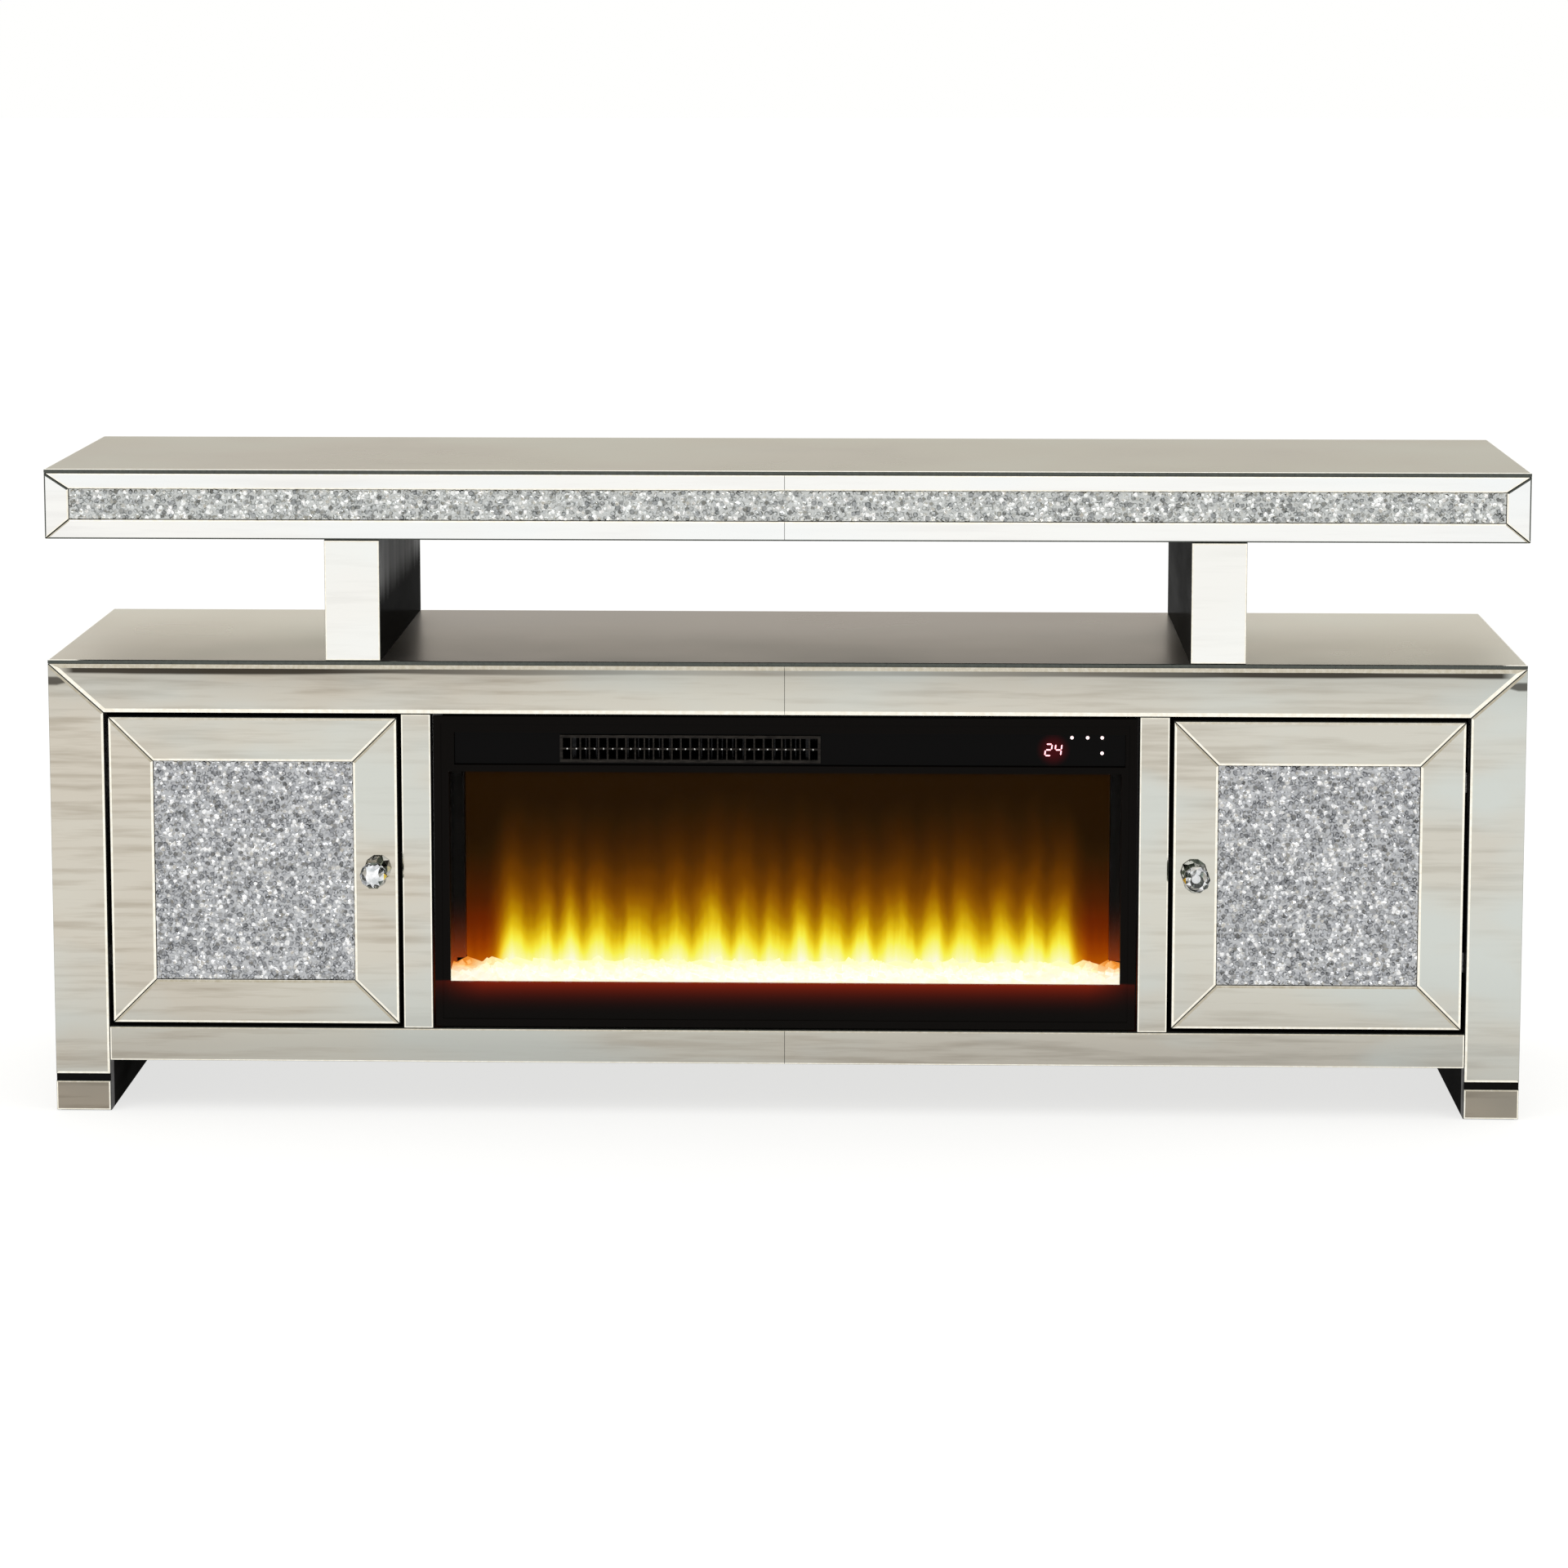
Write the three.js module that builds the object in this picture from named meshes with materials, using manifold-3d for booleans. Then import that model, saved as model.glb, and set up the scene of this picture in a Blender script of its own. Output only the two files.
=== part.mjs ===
// A mirrored media cabinet with an electric fireplace insert, two doors and a raised upper shelf.
// Millimetres. +Z is up, the front faces -Y, and the origin is on the floor, under the middle of
// the whole box, knobs included.

import * as THREE from 'three';
import { mergeVertices } from 'three/addons/utils/BufferGeometryUtils.js';
import Module from 'manifold-3d';

const wasm = await Module();
wasm.setup();

// Cabinet
const cabinetWidth = 1600;
const cabinetDepth = 400;
const legHeight = 57;
const bottomRailHeight = 38;
const openingHeight = 348;
const topRailHeight = 58;
const stileWidth = 60;
const midStileWidth = 32.5;
const insertOpeningWidth = 768;
const footHeight = 33;
const footBandHeight = 9;

// Posts and upper shelf
const postHeight = 132;
const postWidth = 60;
const postSpacing = 875;
const shelfHeight = 76;
const shelfDepth = 357;
const shelfStripWidth = 21.5;
const shelfEndWidth = 26.5;

// Glass, boards and the joints between them
const glassThickness = 4;
const bevelWidth = 4.5;
const bevelDepth = 1.4;
const backingThickness = 2;
const plateJoint = 0.6;
const bondGap = 0.3;
const boardThickness = 16;
const frameThickness = 18;
const deckThickness = 18;
const backThickness = 12;
const crystalRecess = 1.2;
const glassLift = 0.8;
const cutOverrun = 2;

// Doors
const doorGap = 4.5;
const doorStripWidth = 48.5;
const doorThickness = 16;

// Hinges
const hingeEndDistance = 70;
const cupRadius = 17.5;
const cupDepth = 11;
const cupWall = 1.5;
const cupFlangeRadius = 19;
const cupFlangeThickness = 1.2;
const cupEdgeDistance = 22.5;
const cupClearance = 0.3;
const armClearance = 3;
const armThickness = 12;
const armHeight = 12;
const armPlateThickness = 8;
const armPlateLength = 55;
const armPlateHeight = 22;
const linkWidth = 7;

// Knobs
const knobRadius = 15;
const knobBaseRadius = 9;
const knobNeckRadius = 5;
const knobTableRadius = 8;
const knobBaseHeight = 3;
const knobNeckHeight = 11;
const knobGirdleHeight = 21;
const knobGirdleWidth = 2;
const knobReach = 32;
const knobFacets = 12;

// Shelves behind the doors
const innerShelfHeight = 170;
const innerShelfSetback = 24;
const innerShelfClearance = 0.8;
const pinRadius = 2.5;
const pinLength = 8;
const pinInset = 40;

// Back panel
const cableHoleRadius = 30;
const cableHoleHeight = 230;
const hatchSideMargin = 54;
const hatchEndMargin = 39;

// Fireplace insert: bezel, window and top band
const insertGap = 2.5;
const insertSetback = 2;
const rimWidth = 8;
const rimHeight = 1;
const bezelThickness = 5;
const windowSideMargin = 16.5;
const windowSill = 49;
const windowLap = 6;
const windowTopLap = 3;
const bandRise = 7.5;
const bandHeight = 36;
const bandTopMargin = 17.5;
const bandLeftMargin = 22.5;
const bandRightMargin = 12.5;
const bandLap = 3;
const panelThickness = 3;
const windowThickness = 4;

// Outlet grille
const grilleWidth = 283;
const grilleHeight = 30;
const grilleInset = 115;
const grilleSetback = 2;
const grilleRim = 3;
const grilleBar = 1.5;
const grilleColumns = 28;
const grilleGap = 0.3;

// Casing of the insert
const casingSideMargin = 7.5;
const casingTopMargin = 5.7;
const casingDepth = 180;
const casingWall = 2;
const dividerDepth = 158;
const cheekWidth = 14;
const cheekThickness = 14;
const ventCount = 9;
const ventWidth = 30;
const ventHeight = 16;
const ventPitch = 44;
const glandRadius = 9;
const glandBore = 4;
const glandLength = 12;
const glandInset = 74;
const glandHeight = 40;

// Ember bed and flame screen
const emberDepth = 96;
const emberClearance = 1;
const emberLevel = 1;
const emberLumpHeight = 4;
const emberLumpPitch = 27;
const emberSlantShare = 0.37;
const emberSections = 54;
const emberRows = 7;
const screenThickness = 3;
const screenSetback = 3;

// Flicker rotor, its motor and the lamp strip
const rotorSetback = 34;
const rotorHeight = 34;
const rotorAxleRadius = 3;
const rotorVaneCount = 26;
const rotorVaneLength = 22;
const rotorVaneReach = 15;
const rotorVaneThickness = 0.8;
const rotorVaneTurn = 2.4;
const rotorMotorRadius = 22;
const rotorMotorLength = 30;
const rotorEndMargin = 14;
const bearingLength = 16;
const bearingWall = 3;
const bearingClearance = 0.4;
const lampStripWidth = 12;
const lampStripThickness = 1.6;
const lampCount = 24;
const lampSize = 5;
const lampHeight = 1.4;
const lampMargin = 24;

// Blower and heating element
const blowerSetback = 70;
const blowerWheelRadius = 19;
const blowerWheelLength = 250;
const blowerAxleRadius = 3;
const blowerBladeCount = 14;
const blowerBladeDepth = 6;
const blowerBladeThickness = 0.9;
const blowerDiscThickness = 2;
const ductClearance = 3;
const ductWall = 1.6;
const ductOpening = 110;
const ductEndGap = 3;
const blowerMotorRadius = 20;
const blowerMotorLength = 34;
const heaterSetback = 10;
const heaterThickness = 16;
const heaterRim = 4;
const heaterFin = 1.2;
const heaterFins = 22;

// Roundness
const rodSides = 16;
const holeSides = 32;

// Levels from the floor up
const openingBottom = legHeight + bottomRailHeight;
const openingTop = openingBottom + openingHeight;
const deckTop = openingTop + topRailHeight;
const shelfBottom = deckTop + postHeight;
const shelfTop = shelfBottom + shelfHeight;
const glassSkin = glassThickness + bondGap;
const deckBoardTop = deckTop - glassSkin;
const deckBoardBottom = deckBoardTop - deckThickness;
const sideTop = deckBoardBottom - bondGap;

// Places from front to back
const frontY = (knobReach - cabinetDepth) / 2;
const backY = frontY + cabinetDepth;
const boardFrontY = frontY + glassSkin;
const frameBackY = boardFrontY + frameThickness;
const insideFrontY = frameBackY + bondGap;
const backPanelY = backY - backThickness;
const insideBackY = backPanelY - bondGap;

// Places from the middle out
const halfWidth = cabinetWidth / 2;
const boardHalfWidth = halfWidth - glassSkin;
const stileEdge = halfWidth - stileWidth;
const insertEdge = insertOpeningWidth / 2;
const midStileEdge = insertEdge + midStileWidth;
const halfJoint = plateJoint / 2;

// Materials
function material(color, roughness, metalness, extra = {}) {
  return new THREE.MeshStandardMaterial({ color, roughness, metalness, ...extra });
}
const mirrorGlass = material(0xcdc8bb, 0.07, 1);
const crushedCrystal = material(0x9a9b9e, 0.3, 0.4);
const knobCrystal = material(0xd9dadb, 0.05, 0.2);
const blackLacquer = material(0x16120f, 0.25, 0);
const blackBoard = material(0x1d1b19, 0.55, 0);
const blackSteel = material(0x15120f, 0.4, 0.6);
const blackPlastic = material(0x171412, 0.35, 0);
const windowGlass = material(0x1c150d, 0.05, 0, { transparent: true, opacity: 0.25 });
const flameScreen = material(0x7a4a10, 0.5, 0, { emissive: 0xf0a018 });
const emberResin = material(0xffc46a, 0.4, 0, { emissive: 0xff9a2a });
const bareSteel = material(0xa9aaab, 0.35, 1);
const nickel = material(0xb9b8b4, 0.25, 1);
const lampBoard = material(0xe8e4da, 0.5, 0);

const cabinet = new THREE.Group();

function addMesh(parent, name, geometry, meshMaterial) {
  const mesh = new THREE.Mesh(geometry, meshMaterial);
  mesh.name = name;
  parent.add(mesh);
  return mesh;
}

// A group whose local z points out of a face of the cabinet and whose local y is given by up.
function addFace(parent, right, up, out, origin) {
  const face = new THREE.Group();
  face.setRotationFromMatrix(new THREE.Matrix4().makeBasis(right, up, out));
  face.position.copy(origin);
  parent.add(face);
  return face;
}

const axisX = new THREE.Vector3(1, 0, 0);
const axisY = new THREE.Vector3(0, 1, 0);
const axisZ = new THREE.Vector3(0, 0, 1);
const toFront = axisY.clone().negate();
const frontFace = addFace(cabinet, axisX, axisZ, toFront, new THREE.Vector3(0, frontY + glassThickness, 0));

const sides = [
  { name: 'left', sign: -1 },
  { name: 'right', sign: 1 },
];

// Limits across the cabinet on one side of its middle, lowest first.
function across(sign, near, far) {
  return sign > 0 ? [near, far] : [-far, -near];
}

function middle(limits) {
  return (limits[0] + limits[1]) / 2;
}

function length(limits) {
  return limits[1] - limits[0];
}

function widened(limits, margin) {
  return [limits[0] - margin, limits[1] + margin];
}

function blockGeometry(x, y, z) {
  const geometry = new THREE.BoxGeometry(length(x), length(y), length(z));
  return geometry.translate(middle(x), middle(y), middle(z));
}

function addBoard(parent, name, x, y, z, boardMaterial) {
  const geometry = new THREE.BoxGeometry(length(x), length(y), length(z));
  const mesh = addMesh(parent, name, geometry, boardMaterial);
  mesh.position.set(middle(x), middle(y), middle(z));
  return mesh;
}

// Solids for cutting and joining
function solidOf(geometry) {
  const bare = geometry.clone();
  bare.deleteAttribute('normal');
  bare.deleteAttribute('uv');
  const merged = mergeVertices(bare);
  return new wasm.Manifold(new wasm.Mesh({
    numProp: 3,
    vertProperties: merged.getAttribute('position').array,
    triVerts: Uint32Array.from(merged.getIndex().array),
  }));
}

function geometryOf(solid) {
  const mesh = solid.getMesh();
  const geometry = new THREE.BufferGeometry();
  geometry.setAttribute('position', new THREE.BufferAttribute(mesh.vertProperties, 3));
  geometry.setIndex(new THREE.BufferAttribute(mesh.triVerts, 1));
  geometry.computeVertexNormals();
  return geometry;
}

function joined(solids) {
  return solids.reduce((whole, solid) => whole.add(solid));
}

function without(body, tools) {
  return tools.reduce((whole, tool) => whole.subtract(tool), body);
}

function block(x, y, z) {
  return solidOf(blockGeometry(x, y, z));
}

function rodAlongX(x, y, z, radius, segments = rodSides) {
  const rod = new THREE.CylinderGeometry(radius, radius, length(x), segments);
  return solidOf(rod.rotateZ(Math.PI / 2).translate(middle(x), y, z));
}

function rodAlongY(x, y, z, radius, segments = rodSides) {
  const rod = new THREE.CylinderGeometry(radius, radius, length(y), segments);
  return solidOf(rod.translate(x, middle(y), z));
}

// Outlines of the glass plates, counterclockwise seen from outside
function points(...pairs) {
  return pairs.map(([x, y]) => new THREE.Vector2(x, y));
}

function rectangle(x, y) {
  return points([x[0], y[0]], [x[1], y[0]], [x[1], y[1]], [x[0], y[1]]);
}

function mirrored(outline, sign) {
  if (sign > 0) {
    return outline;
  }
  return outline.map((point) => new THREE.Vector2(-point.x, point.y)).reverse();
}

// Moves every edge of a convex outline inwards, or outwards where the distance is negative.
function inset(outline, distance) {
  const count = outline.length;
  return outline.map((point, index) => {
    const before = point.clone().sub(outline[(index + count - 1) % count]).normalize();
    const after = outline[(index + 1) % count].clone().sub(point).normalize();
    const reach = distance / (1 + before.dot(after));
    const inwards = new THREE.Vector2(-(before.y + after.y), before.x + after.x);
    return point.clone().add(inwards.multiplyScalar(reach));
  });
}

// A closed skin over rings of equal count, from the first ring to the last.
function loft(rings) {
  const count = rings[0].length;
  const vertices = rings.flat().flatMap((point) => [point.x, point.y, point.z]);
  const faces = [];
  for (let ring = 0; ring + 1 < rings.length; ring += 1) {
    for (let index = 0; index < count; index += 1) {
      const low = ring * count + index;
      const lowNext = ring * count + ((index + 1) % count);
      faces.push(low, lowNext, lowNext + count, low, lowNext + count, low + count);
    }
  }
  const top = (rings.length - 1) * count;
  for (let index = 1; index + 1 < count; index += 1) {
    faces.push(0, index + 1, index);
    faces.push(top, top + index, top + index + 1);
  }
  const geometry = new THREE.BufferGeometry();
  geometry.setAttribute('position', new THREE.Float32BufferAttribute(vertices, 3));
  geometry.setIndex(faces);
  geometry.computeVertexNormals();
  return geometry;
}

// A convex glass plate with a ground bevel round its front, cut short by half a joint all round.
function bevelledPlate(outline) {
  const edge = inset(outline, halfJoint);
  const field = inset(edge, bevelWidth);
  const ring = (ringOutline, z) => ringOutline.map((point) => new THREE.Vector3(point.x, point.y, z));
  return loft([ring(edge, 0), ring(edge, glassThickness - bevelDepth), ring(field, glassThickness)]);
}

// Several plates on one backing, which shows black between them.
function plateSet(outlines, backing, hole = null) {
  const shape = new THREE.Shape(inset(backing, halfJoint));
  if (hole) {
    shape.holes.push(new THREE.Path(inset(hole, -halfJoint)));
  }
  const backingPlate = new THREE.ExtrudeGeometry(shape, { depth: backingThickness, bevelEnabled: false });
  const plates = outlines.map((outline) => solidOf(bevelledPlate(outline)));
  return geometryOf(joined([solidOf(backingPlate), ...plates]));
}

// The four mitred strips between an outer and an inner rectangle, the long ones split if asked.
function mitredStrips(outer, inner, split = false) {
  const [x, y] = outer;
  const [innerX, innerY] = inner;
  const leftEnd = points([x[0], y[0]], [innerX[0], innerY[0]], [innerX[0], innerY[1]], [x[0], y[1]]);
  const rightEnd = points([x[1], y[0]], [x[1], y[1]], [innerX[1], innerY[1]], [innerX[1], innerY[0]]);
  if (!split) {
    return [
      leftEnd,
      rightEnd,
      points([x[0], y[0]], [x[1], y[0]], [innerX[1], innerY[0]], [innerX[0], innerY[0]]),
      points([x[0], y[1]], [innerX[0], innerY[1]], [innerX[1], innerY[1]], [x[1], y[1]]),
    ];
  }
  const seam = middle(x);
  return [
    leftEnd,
    rightEnd,
    points([x[0], y[0]], [seam, y[0]], [seam, innerY[0]], [innerX[0], innerY[0]]),
    points([seam, y[0]], [x[1], y[0]], [innerX[1], innerY[0]], [seam, innerY[0]]),
    points([x[0], y[1]], [innerX[0], innerY[1]], [seam, innerY[1]], [seam, y[1]]),
    points([seam, y[1]], [seam, innerY[1]], [innerX[1], innerY[1]], [x[1], y[1]]),
  ];
}

// Carcass boards
// A board as wide as the carcass that stands on the floor at both ends, like an arch.
function archBoard(y) {
  const board = block([-boardHalfWidth, boardHalfWidth], y, [0, sideTop]);
  const legGap = block([-stileEdge, stileEdge], widened(y, cutOverrun), [-cutOverrun, legHeight]);
  return without(board, [legGap]);
}

function addFrontFrame() {
  const y = [boardFrontY, frameBackY];
  const openings = [
    [-stileEdge, -midStileEdge],
    [-insertEdge, insertEdge],
    [midStileEdge, stileEdge],
  ].map((x) => block(x, widened(y, cutOverrun), [openingBottom, openingTop]));
  addMesh(cabinet, 'front_frame', geometryOf(without(archBoard(y), openings)), blackBoard);
}

function addBackPanel() {
  const y = [backPanelY, backY];
  const throughY = widened(y, cutOverrun);
  const hatchX = [-(insertEdge - hatchSideMargin), insertEdge - hatchSideMargin];
  const hatch = block(hatchX, throughY, widened([openingBottom, openingTop], -hatchEndMargin));
  const holeX = (midStileEdge + stileEdge) / 2;
  const holeZ = openingBottom + cableHoleHeight;
  const holes = sides.map(({ sign }) => rodAlongY(sign * holeX, throughY, holeZ, cableHoleRadius, holeSides));
  addMesh(cabinet, 'back_panel', geometryOf(without(archBoard(y), [hatch, ...holes])), blackBoard);
}

function addDeckAndBottom() {
  const deckX = [-boardHalfWidth, boardHalfWidth];
  addBoard(cabinet, 'deck_panel', deckX, [boardFrontY, backY], [deckBoardBottom, deckBoardTop], blackBoard);
  const bottomX = [-(stileEdge - bondGap), stileEdge - bondGap];
  const bottomZ = [openingBottom - boardThickness, openingBottom];
  addBoard(cabinet, 'bottom_panel', bottomX, [insideFrontY, insideBackY], bottomZ, blackBoard);
}

// Pins under an inner shelf, standing out of the panel beside it.
function shelfPins(panelFace) {
  const x = widened([panelFace, panelFace], pinLength);
  const z = openingBottom + innerShelfHeight - bondGap - pinRadius;
  const frontPinY = insideFrontY + innerShelfSetback + pinInset;
  return [frontPinY, insideBackY - pinInset].map((y) => rodAlongX(x, y, z, pinRadius));
}

function addUprights({ name, sign }) {
  const depth = [insideFrontY, insideBackY];
  const sideX = across(sign, boardHalfWidth - boardThickness, boardHalfWidth);
  addBoard(cabinet, `${name}_side_panel`, sideX, depth, [0, sideTop], blackBoard);

  const legPanel = block(across(sign, stileEdge, stileEdge + boardThickness), depth, [0, sideTop]);
  const legPins = shelfPins(sign * stileEdge);
  addMesh(cabinet, `${name}_leg_panel`, geometryOf(joined([legPanel, ...legPins])), blackLacquer);

  const partitionX = across(sign, midStileEdge - boardThickness, midStileEdge);
  const partition = block(partitionX, depth, [openingBottom + bondGap, sideTop]);
  const partitionPins = shelfPins(sign * midStileEdge);
  addMesh(cabinet, `${name}_partition`, geometryOf(joined([partition, ...partitionPins])), blackBoard);

  const shelfX = across(sign, midStileEdge + innerShelfClearance, stileEdge - innerShelfClearance);
  const shelfY = [insideFrontY + innerShelfSetback, insideBackY - innerShelfClearance];
  const shelfZ = [openingBottom + innerShelfHeight, openingBottom + innerShelfHeight + boardThickness];
  addBoard(cabinet, `${name}_inner_shelf`, shelfX, shelfY, shelfZ, blackBoard);
}

// Mirror plates of the cabinet
function addFrontMirrors() {
  const railTop = deckBoardTop + bondGap;
  const topRail = points([-stileEdge, openingTop], [stileEdge, openingTop], [halfWidth, railTop],
    [-halfWidth, railTop]);
  const topHalves = [
    points([-stileEdge, openingTop], [0, openingTop], [0, railTop], [-halfWidth, railTop]),
    points([0, openingTop], [stileEdge, openingTop], [halfWidth, railTop], [0, railTop]),
  ];
  addMesh(frontFace, 'top_rail_mirror', plateSet(topHalves, topRail), mirrorGlass);

  const railZ = [legHeight, openingBottom];
  const bottomHalves = [rectangle([-stileEdge, 0], railZ), rectangle([0, stileEdge], railZ)];
  const bottomRail = rectangle([-stileEdge, stileEdge], railZ);
  addMesh(frontFace, 'bottom_rail_mirror', plateSet(bottomHalves, bottomRail), mirrorGlass);

  for (const { name, sign } of sides) {
    const stileX = [stileEdge, halfWidth];
    const footTop = footHeight + footBandHeight;
    const outline = (bottom) => points([stileEdge, bottom], [halfWidth, bottom], [halfWidth, railTop],
      [stileEdge, openingTop]);
    const plates = [outline(footTop), rectangle(stileX, [glassLift, footHeight])];
    const stile = plateSet(plates.map((plate) => mirrored(plate, sign)), mirrored(outline(glassLift), sign));
    addMesh(frontFace, `${name}_stile_mirror`, stile, mirrorGlass);

    const midStile = rectangle([insertEdge, midStileEdge], [openingBottom, openingTop]);
    addMesh(frontFace, `${name}_mid_stile_mirror`, bevelledPlate(mirrored(midStile, sign)), mirrorGlass);
  }
}

function addSideMirrors({ name, sign }) {
  const right = axisY.clone().multiplyScalar(sign);
  const out = axisX.clone().multiplyScalar(sign);
  const origin = new THREE.Vector3(sign * (halfWidth - glassThickness), 0, 0);
  const face = addFace(cabinet, right, axisZ, out, origin);
  const along = (limits) => (sign > 0 ? limits : [-limits[1], -limits[0]]);

  const cabinetY = along([boardFrontY, backY]);
  const footTop = footHeight + footBandHeight;
  const cabinetPlates = [
    rectangle(cabinetY, [footTop, deckBoardTop + bondGap]),
    rectangle(cabinetY, [glassLift, footHeight]),
  ];
  const backing = rectangle(cabinetY, [glassLift, deckBoardTop + bondGap]);
  addMesh(face, `${name}_side_mirror`, plateSet(cabinetPlates, backing), mirrorGlass);

  const shelfY = along([boardFrontY, frontY + shelfDepth]);
  const shelfZ = [shelfBottom, shelfTop - glassThickness];
  addMesh(face, `${name}_shelf_end_mirror`, bevelledPlate(rectangle(shelfY, shelfZ)), mirrorGlass);
}

function addTopMirrors() {
  const width = [-halfWidth, halfWidth];
  const deck = addMesh(cabinet, 'deck_mirror', bevelledPlate(rectangle(width, [frontY, backY])), mirrorGlass);
  deck.position.z = deckTop - glassThickness;
  const shelfOutline = rectangle(width, [frontY, frontY + shelfDepth]);
  const shelf = addMesh(cabinet, 'shelf_top_mirror', bevelledPlate(shelfOutline), mirrorGlass);
  shelf.position.z = shelfTop - glassThickness;
}

// Upper shelf and posts
function addUpperShelf() {
  const coreX = [-boardHalfWidth, boardHalfWidth];
  const coreTop = shelfTop - glassSkin;
  const coreY = [boardFrontY, frontY + shelfDepth];
  addBoard(cabinet, 'shelf_core', coreX, coreY, [shelfBottom, coreTop], blackLacquer);

  const outer = [[-halfWidth, halfWidth], [shelfBottom, shelfTop - glassThickness]];
  const bandX = [-(halfWidth - shelfEndWidth), halfWidth - shelfEndWidth];
  const bandZ = [shelfBottom + shelfStripWidth, shelfTop - shelfStripWidth];
  const strips = mitredStrips(outer, [bandX, bandZ], true);
  const front = plateSet(strips, rectangle(...outer), rectangle(bandX, bandZ));
  addMesh(frontFace, 'shelf_front_mirror', front, mirrorGlass);
  addCrystal(frontFace, 'shelf_crystal_strip', bandX, bandZ);
}

function addCrystal(parent, name, x, z) {
  const depth = glassThickness - crystalRecess;
  addBoard(parent, name, widened(x, -halfJoint), widened(z, -halfJoint), [0, depth], crushedCrystal);
}

function addPost({ name, sign }) {
  const postX = across(sign, postSpacing / 2, postSpacing / 2 + postWidth);
  const postZ = [deckTop + bondGap, shelfBottom - bondGap];
  addBoard(cabinet, `${name}_post`, postX, [boardFrontY, backY], postZ, blackLacquer);
  addMesh(frontFace, `${name}_post_mirror`, bevelledPlate(rectangle(postX, postZ)), mirrorGlass);
}

// Doors, with their hinges and knobs
const doorNear = midStileEdge + doorGap;
const doorFar = stileEdge - doorGap;
const doorZ = [openingBottom + doorGap, openingTop - doorGap];
const doorBackY = boardFrontY + doorThickness;
const hingeLevels = [
  { name: 'lower', z: doorZ[0] + hingeEndDistance },
  { name: 'upper', z: doorZ[1] - hingeEndDistance },
];
const cupX = doorFar - cupEdgeDistance;

function addDoor({ name, sign }) {
  const door = new THREE.Group();
  cabinet.add(door);
  const doorX = across(sign, doorNear, doorFar);
  const boreY = [doorBackY - cupDepth - cupClearance, doorBackY + cutOverrun];
  const boreRadius = cupRadius + cupClearance;
  const bores = hingeLevels.map(({ z }) => rodAlongY(sign * cupX, boreY, z, boreRadius, holeSides));
  const panel = without(block(doorX, [boardFrontY, doorBackY], doorZ), bores);
  addMesh(door, `${name}_door_panel`, geometryOf(panel), blackBoard);

  const face = addFace(door, axisX, axisZ, toFront, frontFace.position);
  const fieldX = [doorX[0] + doorStripWidth, doorX[1] - doorStripWidth];
  const fieldZ = [doorZ[0] + doorStripWidth, doorZ[1] - doorStripWidth];
  const strips = mitredStrips([doorX, doorZ], [fieldX, fieldZ]);
  const mirror = plateSet(strips, rectangle(doorX, doorZ), rectangle(fieldX, fieldZ));
  addMesh(face, `${name}_door_mirror`, mirror, mirrorGlass);
  addCrystal(face, `${name}_door_crystal`, fieldX, fieldZ);

  const knob = addMesh(door, `${name}_knob`, knobGeometry(), knobCrystal);
  knob.rotation.x = Math.PI;
  knob.position.set(sign * (doorNear + doorStripWidth / 2), frontY, middle(doorZ));

  for (const level of hingeLevels) {
    addMesh(door, `${name}_${level.name}_hinge_cup`, hingeCup(sign, level.z), nickel);
    addMesh(cabinet, `${name}_${level.name}_hinge_arm`, hingeArm(sign, level.z), nickel);
  }
}

// A round base, a neck and a faceted head, turned about local y, which points out of the door.
function knobGeometry() {
  const crownHeight = knobReach;
  const profile = points(
    [0, bondGap],
    [knobBaseRadius, bondGap],
    [knobBaseRadius, knobBaseHeight],
    [knobNeckRadius, knobBaseHeight],
    [knobNeckRadius, knobNeckHeight],
    [knobRadius, knobGirdleHeight],
    [knobRadius, knobGirdleHeight + knobGirdleWidth],
    [knobTableRadius, crownHeight],
    [0, crownHeight],
  );
  return new THREE.LatheGeometry(profile, knobFacets);
}

function hingeCup(sign, z) {
  const flangeY = [doorBackY + bondGap, doorBackY + bondGap + cupFlangeThickness];
  const bodyY = [doorBackY - cupDepth, flangeY[1]];
  const flange = rodAlongY(sign * cupX, flangeY, z, cupFlangeRadius, holeSides);
  const body = rodAlongY(sign * cupX, bodyY, z, cupRadius, holeSides);
  const hollowY = [bodyY[0] + cupWall, bodyY[1] + cutOverrun];
  const hollow = rodAlongY(sign * cupX, hollowY, z, cupRadius - cupWall, holeSides);
  return geometryOf(without(joined([flange, body]), [hollow]));
}

// A plate on the leg panel and an arm that ends in a link bar across the flange of the cup.
function hingeArm(sign, z) {
  const flangeBackY = doorBackY + bondGap + cupFlangeThickness;
  const armY = flangeBackY + armClearance;
  const plateFace = stileEdge - bondGap;
  const height = (size) => [z - size / 2, z + size / 2];
  const plateX = across(sign, plateFace - armPlateThickness, plateFace);
  const plate = block(plateX, [armY, armY + armPlateLength], height(armPlateHeight));
  const arm = block(across(sign, cupX, plateFace), [armY, armY + armThickness], height(armHeight));
  const linkX = across(sign, cupX - linkWidth / 2, cupX + linkWidth / 2);
  const link = block(linkX, [flangeBackY + bondGap, armY + armThickness / 2], height(2 * cupFlangeRadius));
  return geometryOf(joined([plate, arm, link]));
}

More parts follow.
